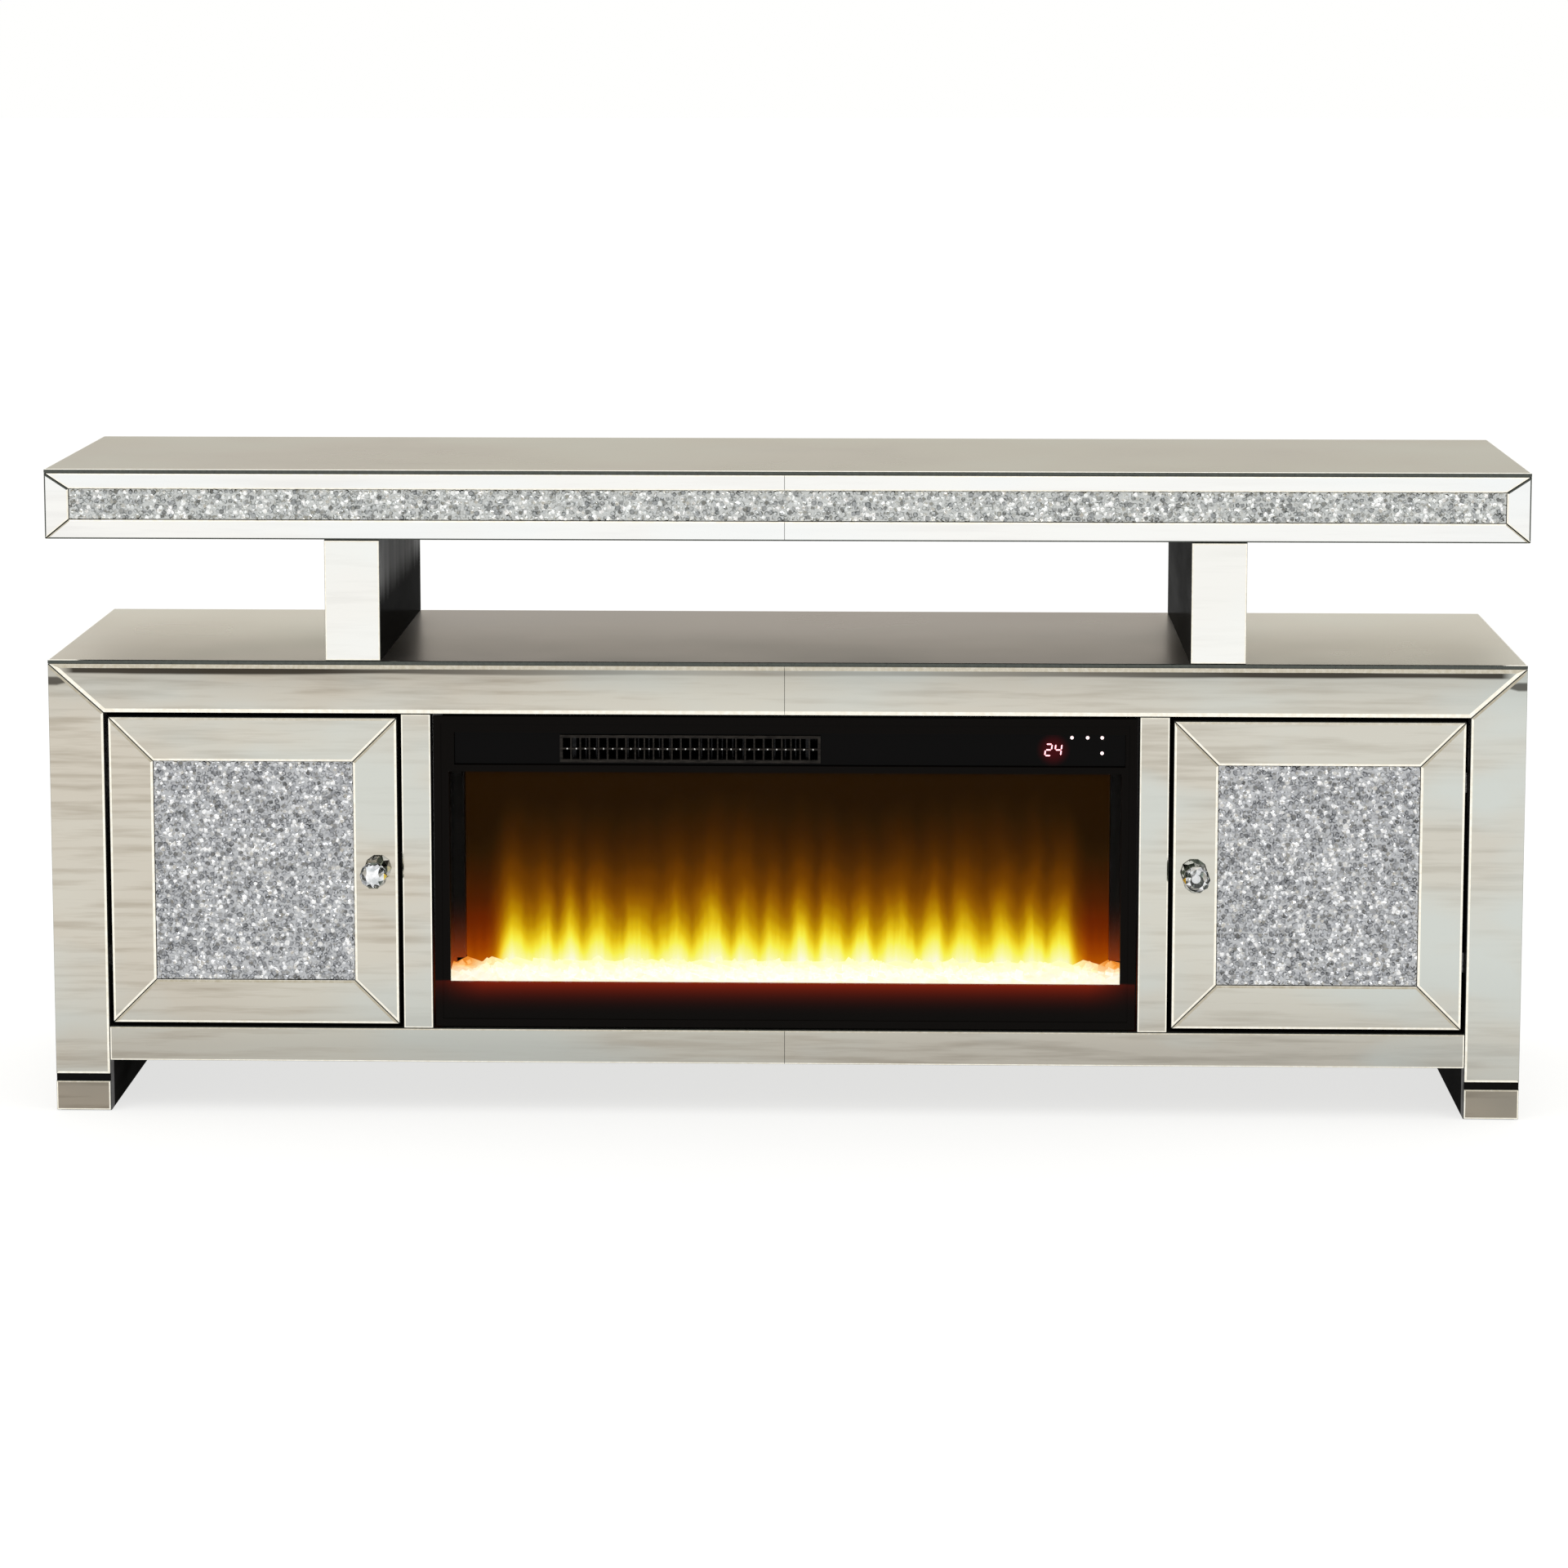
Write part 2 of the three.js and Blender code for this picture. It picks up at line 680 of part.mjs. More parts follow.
// Fireplace insert: shared places
const rimY = frontY + insertSetback;
const bezelY = rimY + rimHeight;
const bezelBackY = bezelY + bezelThickness;
const behindBezelY = bezelBackY + bondGap;
const bezelX = [-(insertEdge - insertGap), insertEdge - insertGap];
const bezelZ = [openingBottom + insertGap, openingTop - insertGap];
const bandX = [bezelX[0] + bandLeftMargin, bezelX[1] - bandRightMargin];
const bandZ = [bezelZ[1] - bandTopMargin - bandHeight, bezelZ[1] - bandTopMargin];
const windowX = widened(bezelX, -windowSideMargin);
const windowZ = [bezelZ[0] + windowSill, bandZ[0] - bandRise];
const grilleX = [bandX[0] + grilleInset, bandX[0] + grilleInset + grilleWidth];
const grilleZ = [middle(bandZ) - grilleHeight / 2, middle(bandZ) + grilleHeight / 2];
const windowBackY = behindBezelY + windowThickness;
const casingX = widened(bezelX, -casingSideMargin);
const casingZ = [openingBottom + bondGap, openingTop - casingTopMargin];
const casingBackY = behindBezelY + casingDepth;
const insideX = [casingX[0] + casingWall, casingX[1] - casingWall];
const insideZ = [casingZ[0] + casingWall, casingZ[1] - casingWall];
const dividerTop = bandZ[0] - bandLap + casingWall;
const emberY = [windowBackY + emberClearance, windowBackY + emberClearance + emberDepth];
const screenY = [emberY[1] + screenSetback, emberY[1] + screenSetback + screenThickness];
const rotorY = screenY[1] + rotorSetback;
const rotorZ = insideZ[0] + rotorHeight;
const motorX = [insideX[1] - bondGap - rotorMotorLength, insideX[1] - bondGap];
const ductZ = [dividerTop + bondGap, insideZ[1] - bondGap];
const blowerY = windowBackY + blowerSetback;
const blowerZ = middle(ductZ);
const wheelX = [middle(grilleX) - blowerWheelLength / 2, middle(grilleX) + blowerWheelLength / 2];

// A standing plate with openings cut through it.
function plateWithHoles(x, y, z, holes) {
  const tools = holes.map(([holeX, holeZ]) => block(holeX, widened(y, cutOverrun), holeZ));
  return without(block(x, y, z), tools);
}

function addBezel() {
  const holes = [[windowX, windowZ], [bandX, bandZ]];
  const plate = plateWithHoles(bezelX, [bezelY, bezelBackY], bezelZ, holes);
  const field = [widened(bezelX, -rimWidth), widened(bezelZ, -rimWidth)];
  const rim = plateWithHoles(bezelX, [rimY, middle([bezelY, bezelBackY])], bezelZ, [field]);
  addMesh(cabinet, 'front_bezel', geometryOf(joined([plate, rim])), blackPlastic);
}

function addWindow() {
  const x = widened(windowX, windowLap);
  const z = [windowZ[0] - windowLap, windowZ[1] + windowTopLap];
  addBoard(cabinet, 'window_glass', x, [behindBezelY, windowBackY], z, windowGlass);
}

function addBand() {
  const hole = [widened(grilleX, grilleGap), widened(grilleZ, grilleGap)];
  const panelY = [behindBezelY, behindBezelY + panelThickness];
  const panel = plateWithHoles(widened(bandX, bandLap), panelY, widened(bandZ, bandLap), [hole]);
  addMesh(cabinet, 'control_panel', geometryOf(panel), blackPlastic);

  const pitch = (grilleWidth - 2 * grilleRim + grilleBar) / grilleColumns;
  const slots = [];
  for (let column = 0; column < grilleColumns; column += 1) {
    const start = grilleX[0] + grilleRim + column * pitch;
    const slotX = [start, start + pitch - grilleBar];
    slots.push([slotX, [grilleZ[0] + grilleRim, middle(grilleZ) - grilleBar / 2]]);
    slots.push([slotX, [middle(grilleZ) + grilleBar / 2, grilleZ[1] - grilleRim]]);
  }
  const grille = plateWithHoles(grilleX, [bezelY + grilleSetback, panelY[1]], grilleZ, slots);
  addMesh(cabinet, 'outlet_grille', geometryOf(grille), blackPlastic);
}

function addCasing() {
  const casingY = [behindBezelY, casingBackY];
  const backWallY = [casingBackY - casingWall, casingBackY];
  const hollow = block(insideX, [behindBezelY - cutOverrun, backWallY[0]], insideZ);
  const shell = without(block(casingX, casingY, casingZ), [hollow]);
  const dividerZ = [dividerTop - casingWall, dividerTop];
  const dividerX = widened(insideX, casingWall / 2);
  const divider = block(dividerX, [backWallY[0] - dividerDepth, backWallY[0] + casingWall / 2], dividerZ);
  const cheekY = [screenY[0] - cheekThickness, screenY[1] + casingWall];
  const cheekZ = [emberTop + emberLumpHeight + emberClearance, dividerTop - casingWall / 2];
  const cheeks = sides.map(({ sign }) => {
    const near = insideX[1] - cheekWidth;
    return block(across(sign, near, insideX[1] + casingWall / 2), cheekY, cheekZ);
  });
  const bearingX = [insideX[0] - casingWall / 2, insideX[0] + bearingLength];
  const bearingRadius = rotorAxleRadius + bearingClearance + bearingWall;
  const bearing = rodAlongX(bearingX, rotorY, rotorZ, bearingRadius);
  const bearingBore = rodAlongX([insideX[0], bearingX[1] + cutOverrun], rotorY, rotorZ,
    rotorAxleRadius + bearingClearance);
  const glandX = casingX[1] - glandInset;
  const glandY = [casingBackY - casingWall / 2, casingBackY + glandLength];
  const glandZ = casingZ[0] + glandHeight;
  const gland = rodAlongY(glandX, glandY, glandZ, glandRadius);
  const glandHoleY = [backWallY[0] - cutOverrun, glandY[1] + cutOverrun];
  const glandHole = rodAlongY(glandX, glandHoleY, glandZ, glandBore);
  const ventY = widened(backWallY, cutOverrun);
  const ventZ = [blowerZ - ventHeight / 2, blowerZ + ventHeight / 2];
  const vents = [];
  for (let index = 0; index < ventCount; index += 1) {
    const ventMiddle = middle(grilleX) + (index - (ventCount - 1) / 2) * ventPitch;
    vents.push(block([ventMiddle - ventWidth / 2, ventMiddle + ventWidth / 2], ventY, ventZ));
  }
  const whole = joined([shell, divider, ...cheeks, bearing, gland]);
  const casing = without(whole, [bearingBore, glandHole, ...vents]);
  addMesh(cabinet, 'insert_casing', geometryOf(casing), blackSteel);
}

// A tray of crushed embers: sections along X whose upper edge rolls in gentle lumps.
const emberTop = windowZ[0] + emberLevel;

function addEmberBed() {
  const bedX = widened(insideX, -emberClearance);
  const bottom = insideZ[0] + bondGap;
  const lump = (x, y) => emberLumpHeight * Math.sin((2 * Math.PI * x) / emberLumpPitch)
    * Math.cos((2 * Math.PI * y + emberSlantShare * x) / emberLumpPitch);
  const rings = [];
  for (let section = 0; section <= emberSections; section += 1) {
    const x = bedX[0] + (length(bedX) * section) / emberSections;
    const ring = [new THREE.Vector3(x, emberY[0], bottom), new THREE.Vector3(x, emberY[1], bottom)];
    for (let row = emberRows - 1; row >= 0; row -= 1) {
      const y = emberY[0] + (length(emberY) * row) / (emberRows - 1);
      ring.push(new THREE.Vector3(x, y, emberTop + lump(x, y)));
    }
    rings.push(ring);
  }
  addMesh(cabinet, 'ember_bed', loft(rings), emberResin);
}

function addFlameScreen() {
  const near = insideX[1] - cheekWidth;
  const z = [insideZ[0] + bondGap, dividerTop - casingWall - bondGap];
  addBoard(cabinet, 'flame_screen', [-(near - bondGap), near - bondGap], screenY, z, flameScreen);
}

function addRotor() {
  const axleX = [insideX[0] + bondGap, motorX[0] - bondGap];
  const vanesX = [insideX[0] + bearingLength + rotorEndMargin, motorX[0] - rotorEndMargin];
  const pitch = (length(vanesX) - rotorVaneLength) / (rotorVaneCount - 1);
  const vanes = [];
  for (let index = 0; index < rotorVaneCount; index += 1) {
    const start = vanesX[0] + index * pitch;
    const vaneDepth = widened([0, 0], rotorVaneThickness / 2);
    const reach = widened([0, 0], rotorVaneReach);
    const vane = blockGeometry([start, start + rotorVaneLength], vaneDepth, reach);
    vanes.push(solidOf(vane.rotateX(index * rotorVaneTurn).translate(0, rotorY, rotorZ)));
  }
  const axle = rodAlongX(axleX, rotorY, rotorZ, rotorAxleRadius);
  addMesh(cabinet, 'flame_rotor', geometryOf(joined([axle, ...vanes])), bareSteel);
  const motor = rodAlongX(motorX, rotorY, rotorZ, rotorMotorRadius, holeSides);
  addMesh(cabinet, 'rotor_motor', geometryOf(motor), nickel);
}

function addLampStrip() {
  const x = [insideX[0] + bearingLength + lampMargin, motorX[0] - lampMargin];
  const y = [screenY[1] + bondGap, screenY[1] + bondGap + lampStripWidth];
  const z = [insideZ[0] + bondGap, insideZ[0] + bondGap + lampStripThickness];
  const pitch = length(x) / lampCount;
  const lamps = [];
  for (let index = 0; index < lampCount; index += 1) {
    const centre = x[0] + (index + 1 / 2) * pitch;
    const lampX = [centre - lampSize / 2, centre + lampSize / 2];
    const lampY = [middle(y) - lampSize / 2, middle(y) + lampSize / 2];
    lamps.push(block(lampX, lampY, [middle(z), z[1] + lampHeight]));
  }
  addMesh(cabinet, 'lamp_strip', geometryOf(joined([block(x, y, z), ...lamps])), lampBoard);
}

// A cross-flow wheel: an axle, two discs and a ring of blades between them.
function addBlowerWheel() {
  const motorEnd = wheelX[1] + ductEndGap + ductWall;
  const axleX = [wheelX[0] - ductEndGap - ductWall, motorEnd];
  const axle = rodAlongX(axleX, blowerY, blowerZ, blowerAxleRadius);
  const discs = [
    [wheelX[0], wheelX[0] + blowerDiscThickness],
    [wheelX[1] - blowerDiscThickness, wheelX[1]],
  ].map((x) => rodAlongX(x, blowerY, blowerZ, blowerWheelRadius, holeSides));
  const blades = [];
  const bladeX = widened(wheelX, -blowerDiscThickness / 2);
  const bladeZ = [blowerWheelRadius - blowerBladeDepth, blowerWheelRadius - blowerBladeThickness];
  for (let index = 0; index < blowerBladeCount; index += 1) {
    const blade = blockGeometry(bladeX, widened([0, 0], blowerBladeThickness / 2), bladeZ);
    const angle = (index * 2 * Math.PI) / blowerBladeCount;
    blades.push(solidOf(blade.rotateX(angle).translate(0, blowerY, blowerZ)));
  }
  addMesh(cabinet, 'blower_wheel', geometryOf(joined([axle, ...discs, ...blades])), bareSteel);
}

// The duct round the wheel, open to the front, with an end plate at each end and the motor on one.
function addBlowerHousing() {
  const innerRadius = blowerWheelRadius + ductClearance;
  const outerRadius = innerRadius + ductWall;
  const opening = (ductOpening * Math.PI) / 180;
  const start = Math.PI + opening / 2;
  const finish = Math.PI * 3 - opening / 2;
  const arc = new THREE.Shape();
  arc.absarc(0, 0, outerRadius, start, finish, false);
  arc.absarc(0, 0, innerRadius, finish, start, true);
  const ductX = widened(wheelX, ductEndGap);
  const ductLength = length(ductX) + 2 * ductWall;
  const settings = { depth: ductLength, bevelEnabled: false, curveSegments: rodSides };
  const duct = new THREE.ExtrudeGeometry(arc, settings);
  const turn = new THREE.Matrix4().makeBasis(axisY, axisZ, axisX);
  duct.applyMatrix4(turn).translate(ductX[0] - ductWall, blowerY, blowerZ);
  const plateY = [blowerY - outerRadius, blowerY + outerRadius];
  const bore = rodAlongX(widened(ductX, cutOverrun + ductWall), blowerY, blowerZ,
    blowerAxleRadius + bearingClearance);
  const plates = [
    [ductX[0] - ductWall, ductX[0]],
    [ductX[1], ductX[1] + ductWall],
  ].map((x) => block(x, plateY, ductZ));
  const motorEnd = ductX[1] + ductWall;
  const coverX = [ductX[1] + ductWall / 2, motorEnd + blowerMotorLength];
  const cover = rodAlongX(coverX, blowerY, blowerZ, blowerMotorRadius, holeSides);
  const body = joined([solidOf(duct), ...plates, cover]);
  addMesh(cabinet, 'blower_housing', geometryOf(without(body, [bore])), nickel);
}

function addHeater() {
  const heaterY = windowBackY + heaterSetback;
  const x = widened(wheelX, heaterRim);
  const field = [widened(x, -heaterRim), widened(ductZ, -heaterRim)];
  const pitch = (length(field[0]) + heaterFin) / heaterFins;
  const gaps = [];
  for (let index = 0; index < heaterFins; index += 1) {
    const start = field[0][0] + index * pitch;
    gaps.push([[start, start + pitch - heaterFin], field[1]]);
  }
  const heater = plateWithHoles(x, [heaterY, heaterY + heaterThickness], ductZ, gaps);
  addMesh(cabinet, 'heater_element', geometryOf(heater), bareSteel);
}

addFrontFrame();
addBackPanel();
addDeckAndBottom();
addFrontMirrors();
addTopMirrors();
addUpperShelf();
for (const side of sides) {
  addUprights(side);
  addSideMirrors(side);
  addPost(side);
  addDoor(side);
}
addBezel();
addWindow();
addBand();
addCasing();
addEmberBed();
addFlameScreen();
addRotor();
addLampStrip();
addBlowerWheel();
addBlowerHousing();
addHeater();

export default cabinet;
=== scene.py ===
# The looks of a mirrored media cabinet: bevelled mirror plates, crushed crystal, crystal knobs and
# a lit fireplace insert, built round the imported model. The builders take millimetres.

import math
import random

import bpy
from mathutils import Matrix, Vector


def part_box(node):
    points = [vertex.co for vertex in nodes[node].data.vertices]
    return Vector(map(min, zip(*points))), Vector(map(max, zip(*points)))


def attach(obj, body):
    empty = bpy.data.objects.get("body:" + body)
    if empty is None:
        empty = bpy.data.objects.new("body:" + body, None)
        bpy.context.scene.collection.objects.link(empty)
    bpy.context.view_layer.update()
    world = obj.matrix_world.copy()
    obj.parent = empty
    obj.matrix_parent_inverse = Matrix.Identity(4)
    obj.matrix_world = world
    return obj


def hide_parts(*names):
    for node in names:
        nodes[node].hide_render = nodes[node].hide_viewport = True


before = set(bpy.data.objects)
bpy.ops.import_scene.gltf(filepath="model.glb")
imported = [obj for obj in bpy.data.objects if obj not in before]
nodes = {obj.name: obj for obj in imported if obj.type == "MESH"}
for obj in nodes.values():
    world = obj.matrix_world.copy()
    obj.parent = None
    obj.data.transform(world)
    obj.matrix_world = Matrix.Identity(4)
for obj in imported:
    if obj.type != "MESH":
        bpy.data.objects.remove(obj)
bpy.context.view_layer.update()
scene = bpy.context.scene

MM = 0.001
CABINET = "cabinet"
SIDES = (("left", -1), ("right", 1))
HINGE_LEVELS = ("lower", "upper")
X, Y, Z = Vector((1, 0, 0)), Vector((0, 1, 0)), Vector((0, 0, 1))

# Glass plates
GLASS = 4
HALF_JOINT = 0.3
ARRIS = 0.3
SHELF_ARRIS = 0.45
BEVEL_SLOPE = 0.31
WIDE_BEVEL = 4.5
DOOR_BEVEL = 2.6
SLIM_BEVEL = 1.6
SEAM_JOINT = 0.05
SEAM_ARRIS = 0.1
SEAM_BEVEL = 0.2
BACKING = 2
BACKING_INSET = 0.2

# Crushed crystal: lengths, and shares of a chip's own size
CHIP_PITCH = 5.2
CHIP_SEAT = 1.1
CHIP_RISE = (0.9, 2.3)
CHIP_TILT = 0.38
CHIP_MARGIN = 0.05
CHIP_SIDES = (4, 5, 6)
CHIP_STAGGER_SHARE = 0.25
CHIP_SCATTER_SHARE = 0.22
CHIP_RADIUS_SHARES = (0.5, 0.68)
CHIP_TABLE_SHARES = (0.3, 0.72)
CHIP_OFFSET_SHARE = 0.2
CHIP_TURN_SHARE = 0.2
CHIP_SPOKE_SHARES = (0.82, 1.12)
CHIP_FOOT_SHARE = 0.9
CHIP_GIRDLE_SHARE = 0.3

# Seeds of the random draws
STRIP_SEED = 11
DOOR_SEEDS = {"left": 31, "right": 21}
KNOB_SEEDS = {"left": 3, "right": 8}
EMBER_SEED = 5


def limits(node):
    """The x, y and z limits of a CAD node in millimetres."""
    low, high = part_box(node)
    return [(a / MM, b / MM) for a, b in zip(low, high)]


def widened(pair, margin):
    return (pair[0] - margin, pair[1] + margin)


def middle(pair):
    return (pair[0] + pair[1]) / 2


def length(pair):
    return pair[1] - pair[0]


def across(sign, near, far):
    """Limits on one side of the middle of the cabinet, lowest first."""
    return (near, far) if sign > 0 else (-far, -near)


# Camera
CAMERA_PLACE = (121.3, -4823.7, 1211)
CAMERA_TURN = 1.504
CAMERA_PITCH = -7.196
CAMERA_LENS = 99.79
CAMERA_SHIFT = -0.15


def add_camera():
    data = bpy.data.cameras.new("camera")
    data.lens = CAMERA_LENS
    data.shift_y = CAMERA_SHIFT
    camera = bpy.data.objects.new("camera", data)
    camera.location = Vector(CAMERA_PLACE) * MM
    camera.rotation_euler = (math.radians(90 + CAMERA_PITCH), 0, math.radians(CAMERA_TURN))
    scene.collection.objects.link(camera)
    scene.camera = camera


add_camera()


# Materials
def rgb(red, green, blue):
    """Linear colour from display values between 0 and 255."""
    return tuple((value / 255) ** 2.2 for value in (red, green, blue)) + (1,)


class Value:
    """What a node gives. It can be reckoned with like any other number."""

    def __init__(self, graph, socket):
        self.graph, self.socket = graph, socket

    def __abs__(self):
        return self.graph.math("ABSOLUTE", self)

    def __add__(self, other):
        return self.graph.math("ADD", self, other)

    def __sub__(self, other):
        return self.graph.math("SUBTRACT", self, other)

    def __rsub__(self, other):
        return self.graph.math("SUBTRACT", other, self)

    def __mul__(self, other):
        return self.graph.math("MULTIPLY", self, other)

    def __truediv__(self, other):
        return self.graph.math("DIVIDE", self, other)

    def __pow__(self, other):
        return self.graph.math("POWER", self, other)

    def ranged(self, low, high, start=0.0, finish=1.0, smooth=False):
        kind = "SMOOTHSTEP" if smooth else "LINEAR"
        return self.graph.value("MapRange", self, low, high, start, finish, interpolation_type=kind)

    def gauged(self, start=0.0, finish=1.0):
        """Spreads the usual range of a noise over new limits."""
        return self.ranged(0.3, 0.7, start, finish)


class Graph:
    """The node graph of one material or world."""

    def __init__(self, name, library=bpy.data.materials):
        self.owner = library.new(name)
        self.owner.use_nodes = True
        self.tree = self.owner.node_tree

    def feed(self, socket, value):
        if isinstance(value, Value):
            self.tree.links.new(value.socket, socket)
        else:
            socket.default_value = value

    def node(self, kind, *values, **settings):
        """A node of one kind, with its settings and the values of its first sockets."""
        node = self.tree.nodes.new(f"ShaderNode{kind}")
        for name, value in settings.items():
            setattr(node, name, value)
        for socket, value in zip(node.inputs, values):
            self.feed(socket, value)
        return node

    def value(self, kind, *values, output=0, **settings):
        return Value(self, self.node(kind, *values, **settings).outputs[output])

    def shade(self, **values):
        shader = self.tree.nodes["Principled BSDF"]
        for name, value in values.items():
            self.feed(shader.inputs[name.replace("_", " ")], value)
        return self.owner

    def lit(self, light, strength=1.0, **values):
        return self.shade(Emission_Color=light, Emission_Strength=strength, **values)

    def axes(self, kind="Object"):
        place = self.value("TexCoord", output=kind)
        return [Value(self, axis) for axis in self.node("SeparateXYZ", place).outputs]

    def noise(self, scale, detail=2.0, roughness=0.5, shift=(0, 0, 0)):
        """Noise over the object's own place, with one scale or one for each axis."""
        place = self.value("TexCoord", output="Object")
        if isinstance(scale, tuple):
            place = self.value("VectorMath", place, scale, shift, operation="MULTIPLY_ADD")
            scale = 1.0
        return self.value("TexNoise", place, 0.0, scale, detail, roughness)

    def wave(self, along, row, scale, up=0.0, detail=2.0):
        """Noise along one coordinate, in a row of its own."""
        return self.value("TexNoise", self.value("CombineXYZ", along, row, up), 0.0, scale, detail)

    def math(self, operation, *values):
        return self.value("Math", *values, operation=operation)

    def mixed(self, share, first, second, blend="MIX"):
        node = self.node("Mix", share, data_type="RGBA", blend_type=blend)
        self.feed(node.inputs[6], first)
        self.feed(node.inputs[7], second)
        return Value(self, node.outputs[2])

    def ramp(self, value, stops):
        node = self.node("ValToRGB", value)
        elements = node.color_ramp.elements
        while len(elements) < len(stops):
            elements.new(1)
        for element, (position, colour) in zip(elements, stops):
            element.position = position
            element.color = colour
        return Value(self, node.outputs[0])

    def bump(self, height, strength, distance):
        node = self.node("Bump", strength, distance)
        self.feed(node.inputs["Height"], height)
        return Value(self, node.outputs[0])

    def island(self):
        return self.value("NewGeometry", output="Random Per Island")


# Mirrors: limits across and up the cabinet in metres, from its middle and from the floor
POLISHED_HAZE = (0.03, 0.07)
SATIN_HAZE = (0.26, 0.34)
EVEN_FADE = ((0.0, 1.0), (1.0, 1.0))
FADE_RANGE = (0, 0.5)
COOL_REFLECTION_RANGE = (0, 0.9)
CENTRE_SHADE_EDGES = (0.42, 0.48)
# Painted dark reflections under the top edge of the rail and of the stiles
REFLECTION_WAVE = 0.0024
REFLECTION_BLUR = 0.0022
RAIL_REFLECTION_LEVEL = 0.4884
RAIL_REFLECTION_REACH = (0.001, 0.003)
RAIL_REFLECTION_ENDS = (0.772, 0.785)
RAIL_REFLECTION_MIDDLE = (0.1, 0.5)
RAIL_REFLECTION_STRENGTH = 0.92
STILE_REFLECTION_LEVEL = 0.4765
STILE_REFLECTION_REACH = (-0.0035, 0.0034)
STILE_REFLECTION_ENDS = (0.764, 0.79)
STILE_REFLECTION_STRENGTH = 0.8


def with_dark_reflections(graph, colour, x, z):
    """Adds the painted dark reflections: wavy dark lines that run under the top edge of the rail and of
    the stiles.
    """
    side = abs(x)
    wave = graph.wave(x, 0.0, 6, detail=3)
    rail_reach = graph.wave(x, 0.5, 4).ranged(0.35, 0.65, *RAIL_REFLECTION_REACH)
    stile_reach = side.ranged(*STILE_REFLECTION_ENDS, *STILE_REFLECTION_REACH)

    def dark_reflection(level, reach, strength):
        distance = abs(z - graph.math("MULTIPLY_ADD", wave, REFLECTION_WAVE, level))
        return distance.ranged(reach, reach + REFLECTION_BLUR, strength, 0.0)

    rail_reflection = dark_reflection(RAIL_REFLECTION_LEVEL, rail_reach, RAIL_REFLECTION_STRENGTH)
    rail_reflection = rail_reflection * side.ranged(*RAIL_REFLECTION_ENDS, 1, 0)
    rail_reflection = rail_reflection * side.ranged(*RAIL_REFLECTION_MIDDLE, 0.3, 1)
    stile_reflection = dark_reflection(STILE_REFLECTION_LEVEL, stile_reach, STILE_REFLECTION_STRENGTH)
    for each in (rail_reflection, stile_reflection):
        # The dark colour of the painted reflections
        colour = graph.mixed(each, colour, rgb(44, 38, 30))
    return colour


def mirror_material(name, tones, fade=EVEN_FADE, dark_reflections=False, centre=None, haze=POLISHED_HAZE):
    """Silvered glass, whose colour holds painted reflections: faint streaks run along x, between warmer
    and cooler patches.
    """
    pale, blush, deep, cool = tones
    graph = Graph(name)
    x, _, z = graph.axes()
    # Painted reflections of floor boards and a room: streaks along x over warmer and cooler patches
    zone = graph.noise((2.4, 2.4, 6))
    cloud = graph.noise((3.4, 3.4, 8), detail=3, shift=(4, 4, 4))
    streak = graph.noise((7, 7, 120), detail=4, roughness=0.55)
    colour = graph.mixed(zone.ranged(0.4, 0.62), pale, blush)
    reflected_streaks = streak.ranged(0.47, 0.68) * zone.ranged(0.36, 0.6, 0.3, 1)
    colour = graph.mixed(reflected_streaks, colour, deep)
    cool_reflection = cloud.ranged(0.48, 0.62, 0, 0.7) + x.ranged(*COOL_REFLECTION_RANGE, 0, 0.35)
    colour = graph.mixed(cool_reflection.ranged(0, 1), colour, cool)
    # Painted shade by height, where the fade stops ask for it
    stops = [(position, (shade, shade, shade, 1)) for position, shade in fade]
    shade = graph.ramp(z.ranged(*FADE_RANGE), stops)
    colour = graph.mixed(1.0, colour, shade, blend="MULTIPLY")
    # Painted shade over the middle, where the deck reflects the dark underside of the shelf
    if centre:
        inside = abs(x).ranged(*CENTRE_SHADE_EDGES, 1, 0, smooth=True)
        colour = graph.mixed(inside, colour, centre, blend="MULTIPLY")
    if dark_reflections:
        colour = with_dark_reflections(graph, colour, x, z)
    return graph.shade(Base_Color=colour, Metallic=1.0, Roughness=cloud.gauged(*haze))


def grained_material(
    name, scale, tones, gloss, detail=2, coarse=0.5, contrast=(0.35, 0.65), relief=None, **values
):
    """A grain from a dark tone to a bright one. Its gloss and relief vary with it."""
    graph = Graph(name)
    grain = graph.noise(scale, detail, coarse)
    if relief:
        values["Normal"] = graph.bump(grain, *relief)
    colour = graph.mixed(grain.ranged(*contrast), *tones)
    return graph.shade(Base_Color=colour, Roughness=grain.gauged(*gloss), **values)


def clear_material(name, scale, tones, roughness, index):
    """Clear glass with a faint tint. The index is that of refraction."""
    graph = Graph(name)
    colour = graph.mixed(graph.noise(scale), *tones)
    return graph.shade(Base_Color=colour, Roughness=roughness, IOR=index, Transmission_Weight=1.0)


def chip_material(name, stops):
    """Crushed glass: every chip has its own shade and gloss, and the brightest chips are painted
    glints.
    """
    graph = Graph(name)
    chance = graph.island()
    frost = graph.noise(700).gauged(0, 0.25)
    colour = graph.mixed(frost, graph.ramp(chance, stops), rgb(150, 152, 156))
    gloss = graph.math("FRACT", chance * 17.0).ranged(0, 1, 0.12, 0.42)
    return graph.shade(Base_Color=colour, Metallic=1.0, Roughness=gloss)


# Lacquer, with a painted sheen: limits and margins in metres
POST_SHEEN = rgb(158, 159, 160)
POST_INNER_FACE = limits("right_post")[0][0] * MM
SHEEN_HEIGHT = (0.57, 0.61)
SHEEN_RIPPLE = 0.03
SHEEN_SIDES = (0.4, -0.4)
SHEEN_MARGINS = (0.0002, 0.0012)


